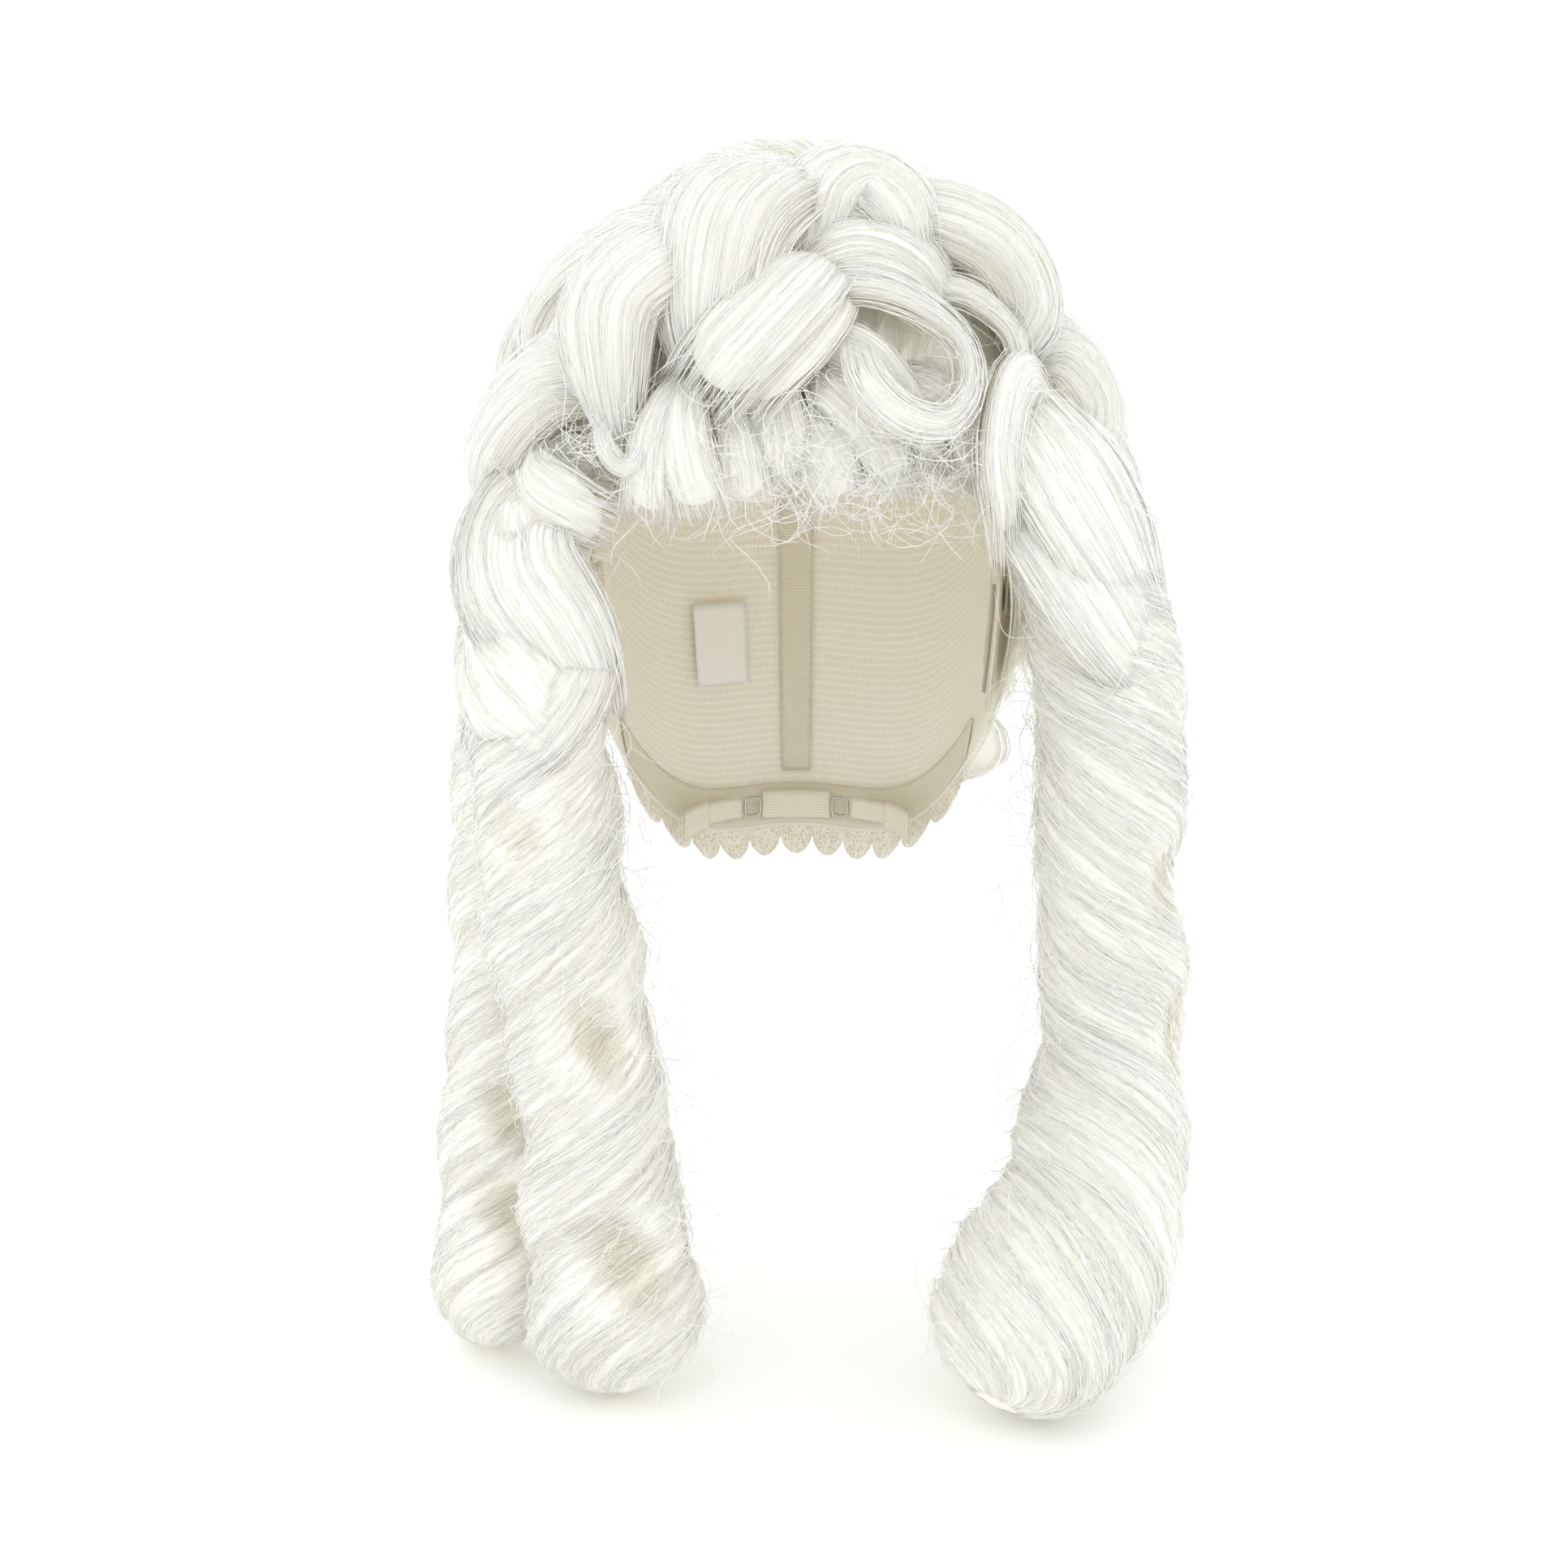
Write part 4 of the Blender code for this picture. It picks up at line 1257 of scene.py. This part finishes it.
def kept_close(paths):
    """Fibres shortened towards their start, so that none strays far out of the wig's own space."""
    low = np.array(CAD_BOX[0]) - np.array((STRAY_ROOM, STRAY_ROOM, -STRAY_FLOOR))
    high = np.array(CAD_BOX[1]) + STRAY_ROOM
    start = paths[:, :1]
    reach = paths - start
    room = np.where(reach > 0.0, high - start, start - low)
    share = np.clip((room / np.maximum(np.abs(reach), 1e-9)).min(axis=(1, 2)), 0.05, 1.0)
    return start + reach * share[:, None, None]


def ringlet_flyaways(name, run, rng, inward, count=150):
    """Loose fibres that stand off a ringlet, most of them on the side towards the neck."""
    settings = bpy.context.scene.wig_fibre
    part = rng.uniform(0.12, 0.97, count)
    middle, along, _, outward, wide, _ = run.read(part)
    turn = rng.normal(0.15, 0.9, count)
    side = np.array((inward, 0.0, 0.0))
    away = unit(side * np.cos(turn)[:, None] + outward * np.sin(turn)[:, None])
    starts = middle + away * (0.90 * wide)[:, None]
    aims = unit(
        away * rng.uniform(0.1, 0.6, count)[:, None]
        + along * rng.normal(0.0, 0.9, count)[:, None]
        + outward * rng.normal(0.0, 0.3, count)[:, None]
    )
    lengths = rng.uniform(8.0, 34.0, count) * MM
    paths = stray_paths(starts, aims, lengths, 7.0 * MM, rng)
    return fibre_mesh(name, kept_close(paths), settings.stray_width, np.full(count, 0.85))


class BuildStrays(WigPieceOperator, bpy.types.Operator):
    """Loose fibres along the hairline"""

    bl_idname = "wig.build_strays"
    bl_label = "Stray fibres"

    def execute(self, context):
        name = "hairline_strays"
        rng = dice(name)
        settings = context.scene.wig_fibre
        count = settings.stray_count
        azimuth = rng.uniform(-66.0, 60.0, count)
        rise = elevation_at(rim_height(azimuth)) + rng.uniform(0.0, 12.0, count)
        starts = dome_points(azimuth, rise, rng.uniform(2.0, 16.0, count) * MM)
        out = dome_outward(starts)
        aims = unit(
            out * rng.uniform(0.0, 0.5, count)[:, None]
            + rng.normal(0.0, 0.8, (count, 3))
            + np.array((0.0, -0.15, -0.25))
        )
        lengths = rng.uniform(10.0, 42.0, count) * MM
        paths = stray_paths(starts, aims, lengths, 9.0 * MM, rng)
        inward = np.sum((paths - starts[:, None, :]) * out[:, None, :], axis=-1, keepdims=True)
        paths = paths - np.minimum(inward + 0.001, 0.0) * out[:, None, :]
        tones = np.full(count, 0.8)
        strays = fibre_mesh(name, kept_close(paths), settings.stray_width, tones)
        made = join(name, [strays], bed_look(), fibre_look())
        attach(made, "cap")
        return {"FINISHED"}


# ---------------------------------------------------------------------------------------------
# The cap


def sheet_piece(name, long_steps, short_steps, place, pattern, thickness, look, closed=False):
    """A thin sewn piece with its thickness added outwards, standing for the CAD node of its name."""
    mesh = grid_mesh(name, long_steps, short_steps, place, pattern, closed)
    bm = bmesh.new()
    bm.from_mesh(mesh)
    lean = sum(face.normal.dot(face.calc_center_median()) for face in bm.faces)
    if lean < 0.0:
        bmesh.ops.reverse_faces(bm, faces=bm.faces)
    bm.to_mesh(mesh)
    bm.free()
    made = add_object(name + "_sewn", mesh, look)
    wall = made.modifiers.new("wall", "SOLIDIFY")
    wall.thickness = thickness
    wall.offset = 1.0
    wall.use_even_offset = True
    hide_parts(name)
    return made


def dome_sheet(name, azimuths, low, high, lift, look, thickness=0.0009, steps=(40, 8)):
    """A tape or panel on the head between two elevations, each a function of azimuth."""
    first, last = azimuths

    def place(along, around):
        azimuth = first + (last - first) * along
        bottom = low(azimuth)
        return dome_points(azimuth, bottom + (high(azimuth) - bottom) * around, lift)

    span = math.radians(abs(last - first)) * HEAD_HALF_DEPTH
    rise = math.radians(float(np.mean(high(np.array(azimuths)) - low(np.array(azimuths))))) * HEAD_DOWN

    def pattern(along, around):
        return np.column_stack((along * span, around * rise))

    return sheet_piece(name, steps[0], steps[1], place, pattern, thickness, look)


def cell_look(name, scale, scatter, thread, gap, relief, roughness):
    """Open cells with raised threads round them: thread and gap are a place and a colour."""
    made, shader = new_look(name)
    if shader is None:
        return made
    tree = made.node_tree
    threads = add_node(tree, "UVMap", uv_map="UVMap")
    stretch = add_node(tree, "Mapping", (("Vector", threads, "UV"),), in_Scale=(scale, scale, 1.0))
    cells = add_node(tree, "TexVoronoi", (("Vector", stretch, "Vector"),), feature="DISTANCE_TO_EDGE",
                     in_Scale=1.0, in_Randomness=scatter)
    ramp = add_node(tree, "ValToRGB", (("Fac", cells, "Distance"),))
    for stop, (place, code) in zip(ramp.color_ramp.elements, (thread, gap)):
        stop.position = place
        stop.color = hex_colour(code)
    bump = add_node(tree, "Bump", (("Height", cells, "Distance"),), invert=True, in_Strength=relief,
                    in_Distance=0.0005)
    surface(tree, shader, ramp.outputs["Color"], bump, roughness)
    return made


def net_look():
    """Warp-knitted polyamide net: open cells with fine glossy threads round them. The open cells are
    painted a darker cream, painted shade for the hair seen through them.
    """
    # Real cells are about 1.2 mm across; they are drawn at 1.7 mm so that they show.
    return cell_look("polyamide_net_knitted", 590.0, 0.25, (0.10, "F8F6EE"), (0.22, "EFEADB"), 0.6, 0.6)


def lace_look():
    """Raschel lace edging: a fine ground with raised cords."""
    return cell_look("polyester_lace_raschel", 900.0, 0.6, (0.12, "F6F3EA"), (0.30, "D3CBB2"), 0.8, 0.7)


def elastic_look():
    """Woven elastic tape: close ribs along its length, with a matt crossed weave."""
    made, shader = new_look("elastane_tape_woven")
    if shader is None:
        return made
    tree = made.node_tree
    threads = add_node(tree, "UVMap", uv_map="UVMap")
    # Ribs are 1.1 mm apart, as on narrow elastic.
    ribs = add_node(tree, "TexWave", (("Vector", threads, "UV"),), bands_direction="Y", in_Scale=290.0)
    weave = add_node(tree, "TexWave", (("Vector", threads, "UV"),), bands_direction="X", in_Scale=520.0)
    both = add_node(tree, "Math", operation="MULTIPLY")
    tree.links.new(ribs.outputs["Fac"], both.inputs[0])
    tree.links.new(weave.outputs["Fac"], both.inputs[1])
    colour = two_tone(tree, ribs, hex_colour("DDD6C2"), hex_colour("F1ECDF"))
    bump = add_node(tree, "Bump", (("Height", both, "Value"),), in_Strength=0.5, in_Distance=0.0004)
    surface(tree, shader, colour, bump, 0.8)
    shader.inputs["Sheen Weight"].default_value = 0.2
    return made


def weft_look():
    """Machine-sewn weft header: tightly bound thread over the folded ends of the fibre."""
    made, shader = new_look("polyester_thread_bound")
    if shader is None:
        return made
    tree = made.node_tree
    place = add_node(tree, "TexCoord")
    grain = add_node(tree, "TexNoise", (("Vector", place, "Object"),), in_Scale=1400.0, in_Detail=2.0)
    colour = two_tone(tree, grain, hex_colour("DAD3BC"), hex_colour("F0ECDD"))
    bump = add_node(tree, "Bump", (("Height", grain, "Fac"),), in_Strength=0.6, in_Distance=0.0003)
    surface(tree, shader, colour, bump, 0.75)
    return made


def wire_look():
    """Drawn spring steel wire with a satin nickel plate."""
    made, shader = new_look("spring_steel_wire_nickelled")
    if shader is None:
        return made
    tree = made.node_tree
    place = add_node(tree, "TexCoord")
    grain = add_node(tree, "TexNoise", (("Vector", place, "Object"),), in_Scale=600.0, in_Detail=3.0)
    rough = add_node(tree, "MapRange", (("Value", grain, "Fac"),))
    rough.inputs["To Min"].default_value = 0.22
    rough.inputs["To Max"].default_value = 0.40
    tree.links.new(rough.outputs["Result"], shader.inputs["Roughness"])
    shader.inputs["Base Color"].default_value = hex_colour("C9C7C0")
    shader.inputs["Metallic"].default_value = 1.0
    return made


def label_look():
    """Woven satin ribbon: smooth, with a faint cross thread. It carries no lettering."""
    made, shader = new_look("polyester_satin_ribbon")
    if shader is None:
        return made
    tree = made.node_tree
    threads = add_node(tree, "UVMap", uv_map="UVMap")
    weave = add_node(tree, "TexWave", (("Vector", threads, "UV"),), bands_direction="Y", in_Scale=500.0)
    colour = two_tone(tree, weave, hex_colour("EFEFEC"), hex_colour("FAFAF8"))
    bump = add_node(tree, "Bump", (("Height", weave, "Fac"),), in_Strength=0.2, in_Distance=0.0002)
    surface(tree, shader, colour, bump, 0.35)
    return made


class BuildCap(WigPieceOperator, bpy.types.Operator):
    """The net, crown panel, edge bands, ribbons, ear tabs, label and nape lace"""

    bl_idname = "wig.build_cap"
    bl_label = "Cap"

    def execute(self, context):
        pieces = [self.net(), self.crown_panel(), self.lace()]

        def rim(azimuth):
            return elevation_at(rim_height(azimuth) + 0.0005)

        def band_top(azimuth):
            return elevation_at(rim_height(azimuth) + BAND_HEIGHT - 0.0005)

        pieces.append(dome_sheet("front_band", (-70.0, 70.0), rim, band_top, BAND_LIFT, elastic_look()))
        pieces.append(dome_sheet("nape_band", (110.0, 250.0), rim, band_top, BAND_LIFT, elastic_look()))
        for name, center in (("back", 180.0), ("left", 223.0), ("right", 137.0)):
            low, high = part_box("cap_ribbon_" + name)
            middle = (low + high) / 2.0
            center = math.degrees(math.atan2(middle.x / HEAD_HALF_WIDTH, -middle.y / HEAD_HALF_DEPTH))
            bottom = float(elevation_at(low.z))
            top = float(elevation_at(min(high.z, HEAD_LEVEL + HEAD_UP * 0.86)))
            pieces.append(dome_sheet(
                "cap_ribbon_" + name, (center - 5.0, center + 5.0), lambda a, b=bottom: b + 0.0 * a,
                lambda a, t=top: t + 0.0 * a, RIBBON_LIFT, elastic_look(), steps=(6, 40),
            ))
        pieces.append(dome_sheet(
            "care_label", (196.0, 214.0), lambda a: -22.0 + 0.0 * a, lambda a: -12.0 + 0.0 * a,
            TAB_LIFT, label_look(), 0.0005, (10, 10),
        ))
        for name, side in (("left", -1.0), ("right", 1.0)):
            center = side * EAR_AZIMUTH
            pieces.append(dome_sheet(
                "ear_tab_" + name, (center - 14.0, center + 14.0),
                lambda a, c=center: elevation_at(-0.022 + 0.016 * ((a - c) / 14.0) ** 2),
                lambda a: elevation_at(0.030 + 0.0 * a), TAB_LIFT, elastic_look(), steps=(20, 12),
            ))
        for piece in pieces:
            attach(piece, "cap")
        for name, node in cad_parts.items():
            if name.startswith("weft_row"):
                node.data.materials.clear()
                node.data.materials.append(weft_look())
            if name.startswith("ear_stay"):
                node.data.materials.clear()
                node.data.materials.append(wire_look())
        return {"FINISHED"}

    def net(self):
        """The stretch net that every lock is sewn to."""

        def place(along, around):
            azimuth = 360.0 * along
            low = elevation_at(rim_height(azimuth))
            return dome_points(azimuth, low + (90.0 - low) * around, 0.0)

        def pattern(along, around):
            return np.column_stack((along * 0.54, around * 0.24))

        made = sheet_piece("cap_net", 120, 48, place, pattern, 0.0009, net_look(), closed=True)
        return made

    def crown_panel(self):
        """The lace lining inside the crown."""

        def place(along, around):
            rise = CROWN_PANEL_EDGE + (90.0 - CROWN_PANEL_EDGE) * around
            return dome_points(360.0 * along, rise, BAND_LIFT)

        def pattern(along, around):
            return np.column_stack((along * 0.25, around * 0.05))

        made = sheet_piece("crown_panel", 72, 16, place, pattern, 0.0008, lace_look(), closed=True)
        return made

    def lace(self):
        """The scalloped edging that hangs below the nape."""

        def place(along, around):
            azimuth = 180.0 + 68.0 * (2.0 * along - 1.0)
            scallop = np.abs(np.sin(math.pi * 11.0 * along)) ** 0.6
            drop = -0.0040 + (0.0070 + 0.0065 * scallop) * around
            return dome_points(azimuth, elevation_at(rim_height(azimuth) - drop), LACE_LIFT)

        def pattern(along, around):
            return np.column_stack((along * 0.22, around * 0.009))

        made = sheet_piece("nape_lace", 176, 6, place, pattern, 0.0005, lace_look())
        return made


class BuildAdjusters(WigPieceOperator, bpy.types.Operator):
    """The nape straps with their wire hooks, the casings they run in and the tape they hook onto"""

    bl_idname = "wig.build_adjusters"
    bl_label = "Nape adjusters"

    def execute(self, context):
        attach(self.tape("hook_tape", (-17.0, 17.0), 0.0446, TAPE_HEIGHTS), "cap")
        for name, side in (("left", -1.0), ("right", 1.0)):
            strap = self.tape("adjuster_strap_" + name, (side * 29.0, side * 78.0), 0.0428, STRAP_HEIGHTS)
            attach(strap, "adjuster_" + name)
            casing = self.tape("strap_casing_" + name, (side * 54.0, side * 82.0), 0.0411, TAPE_HEIGHTS)
            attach(casing, "cap")
            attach(self.hook("adjuster_hook_" + name, side * 23.0), "adjuster_" + name)
        return {"FINISHED"}

    def tape(self, name, angles, radius, heights):
        """A flat tape bent round the nape between two angles."""

        def place(along, around):
            turn = np.radians(angles[0] + (angles[1] - angles[0]) * along)
            high = heights[0] + (heights[1] - heights[0]) * around
            return np.column_stack((radius * np.sin(turn), NAPE_ARC_CENTER_Y + radius * np.cos(turn), high))

        span = math.radians(abs(angles[1] - angles[0])) * radius

        def pattern(along, around):
            return np.column_stack((along * span, around * abs(heights[1] - heights[0])))

        return sheet_piece(name, 24, 4, place, pattern, 0.0009, elastic_look())

    def hook(self, name, angle):
        """A loop of round wire, bent square with soft corners."""
        turn = np.linspace(0.0, FULL_TURN, 41)[:-1]
        across = np.sign(np.cos(turn)) * np.abs(np.cos(turn)) ** 0.5
        up = np.sign(np.sin(turn)) * np.abs(np.sin(turn)) ** 0.5
        spin = np.radians(angle + 4.2 * across)
        curve = bpy.data.curves.new(name, "CURVE")
        curve.dimensions = "3D"
        curve.bevel_depth = 0.0006
        curve.bevel_resolution = 2
        line = curve.splines.new("POLY")
        line.points.add(len(turn) - 1)
        for point, swing, high in zip(line.points, spin, HOOK_HEIGHT + 0.0036 * up):
            back = NAPE_ARC_CENTER_Y + HOOK_RADIUS * math.cos(swing)
            point.co = (HOOK_RADIUS * math.sin(swing), back, high, 1.0)
        line.use_cyclic_u = True
        drawn = bpy.data.objects.new(name, curve)
        bpy.context.scene.collection.objects.link(drawn)
        bpy.context.view_layer.update()
        mesh = bpy.data.meshes.new_from_object(drawn.evaluated_get(bpy.context.evaluated_depsgraph_get()))
        bpy.data.objects.remove(drawn)
        mesh.materials.clear()
        made = add_object(name + "_wire", mesh, wire_look())
        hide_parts(name)
        return made


class SetStage(WigPieceOperator, bpy.types.Operator):
    """White floor, white surround, soft key light and the camera"""

    bl_idname = "wig.set_stage"
    bl_label = "Stage"

    def execute(self, context):
        scene = context.scene
        settings = scene.wig_stage
        bm = bmesh.new()
        bmesh.ops.create_grid(bm, x_segments=1, y_segments=1, size=30.0)
        bmesh.ops.translate(bm, verts=bm.verts, vec=(0.0, 0.0, CAD_BOX[0].z - 0.0004))
        mesh = bpy.data.meshes.new("floor")
        bm.to_mesh(mesh)
        bm.free()
        look, shader = new_look("painted_board_matt")
        shader.inputs["Base Color"].default_value = hex_colour("FAFAF9")
        shader.inputs["Roughness"].default_value = 0.5
        add_object("floor", mesh, look)
        world = bpy.data.worlds.new("white_surround")
        scene.world = world
        world.use_nodes = True
        backing = world.node_tree.nodes["Background"]
        backing.inputs["Color"].default_value = (1.0, 1.0, 1.0, 1.0)
        backing.inputs["Strength"].default_value = settings.surround
        light = bpy.data.lights.new("key_softbox", "AREA")
        light.energy = settings.key
        light.size = 1.2
        key = bpy.data.objects.new("key_softbox", light)
        key.location = (-0.35, -1.2, 1.3)
        key.rotation_euler = (Vector((0.0, 0.0, 0.0)) - key.location).to_track_quat("-Z", "Y").to_euler()
        scene.collection.objects.link(key)
        lens = bpy.data.cameras.new("camera")
        lens.angle = settings.lens_angle
        lens.clip_start = 0.01
        camera = bpy.data.objects.new("camera", lens)
        camera.location = (-0.0047, -0.8925, 0.1415)
        camera.rotation_euler = (math.pi / 2.0 - 0.2091, 0.0, 0.0)
        scene.collection.objects.link(camera)
        scene.camera = camera
        scene.view_settings.view_transform = "Standard"
        scene.cycles.max_bounces = 40
        scene.cycles.diffuse_bounces = 36
        return {"FINISHED"}


class WigPanel(bpy.types.Panel):
    """Lists the builders"""

    bl_idname = "VIEW3D_PT_wig"
    bl_label = "Costume wig"
    bl_space_type = "VIEW_3D"
    bl_region_type = "UI"
    bl_category = "Wig"

    def draw(self, context):
        for group in (context.scene.wig_fibre, context.scene.wig_colours, context.scene.wig_stage):
            for key in group.__annotations__:
                self.layout.prop(group, key)
        for builder in BUILDERS:
            self.layout.operator(builder.bl_idname)


BUILDERS = (
    SetStage,
    BuildRinglets,
    BuildRoots,
    BuildCrownLocks,
    BuildTempleLocks,
    BuildFringe,
    BuildRingCurls,
    BuildBackCurls,
    BuildUnderHair,
    BuildStrays,
    BuildCap,
    BuildAdjusters,
)
SETTINGS = (WigFibreSettings, WigColourSettings, WigStageSettings)


def register():
    for item in SETTINGS + BUILDERS + (WigPanel,):
        bpy.utils.register_class(item)
    bpy.types.Scene.wig_fibre = PointerProperty(type=WigFibreSettings)
    bpy.types.Scene.wig_colours = PointerProperty(type=WigColourSettings)
    bpy.types.Scene.wig_stage = PointerProperty(type=WigStageSettings)


def unregister():
    del bpy.types.Scene.wig_stage
    del bpy.types.Scene.wig_colours
    del bpy.types.Scene.wig_fibre
    for item in reversed(SETTINGS + BUILDERS + (WigPanel,)):
        bpy.utils.unregister_class(item)


def main():
    register()
    for builder in BUILDERS:
        group, action = builder.bl_idname.split(".")
        getattr(getattr(bpy.ops, group), action)()
    section = bpy.data.objects.get("fibre_section")
    if section:
        bpy.data.objects.remove(section)


if __name__ == "__main__":
    main()
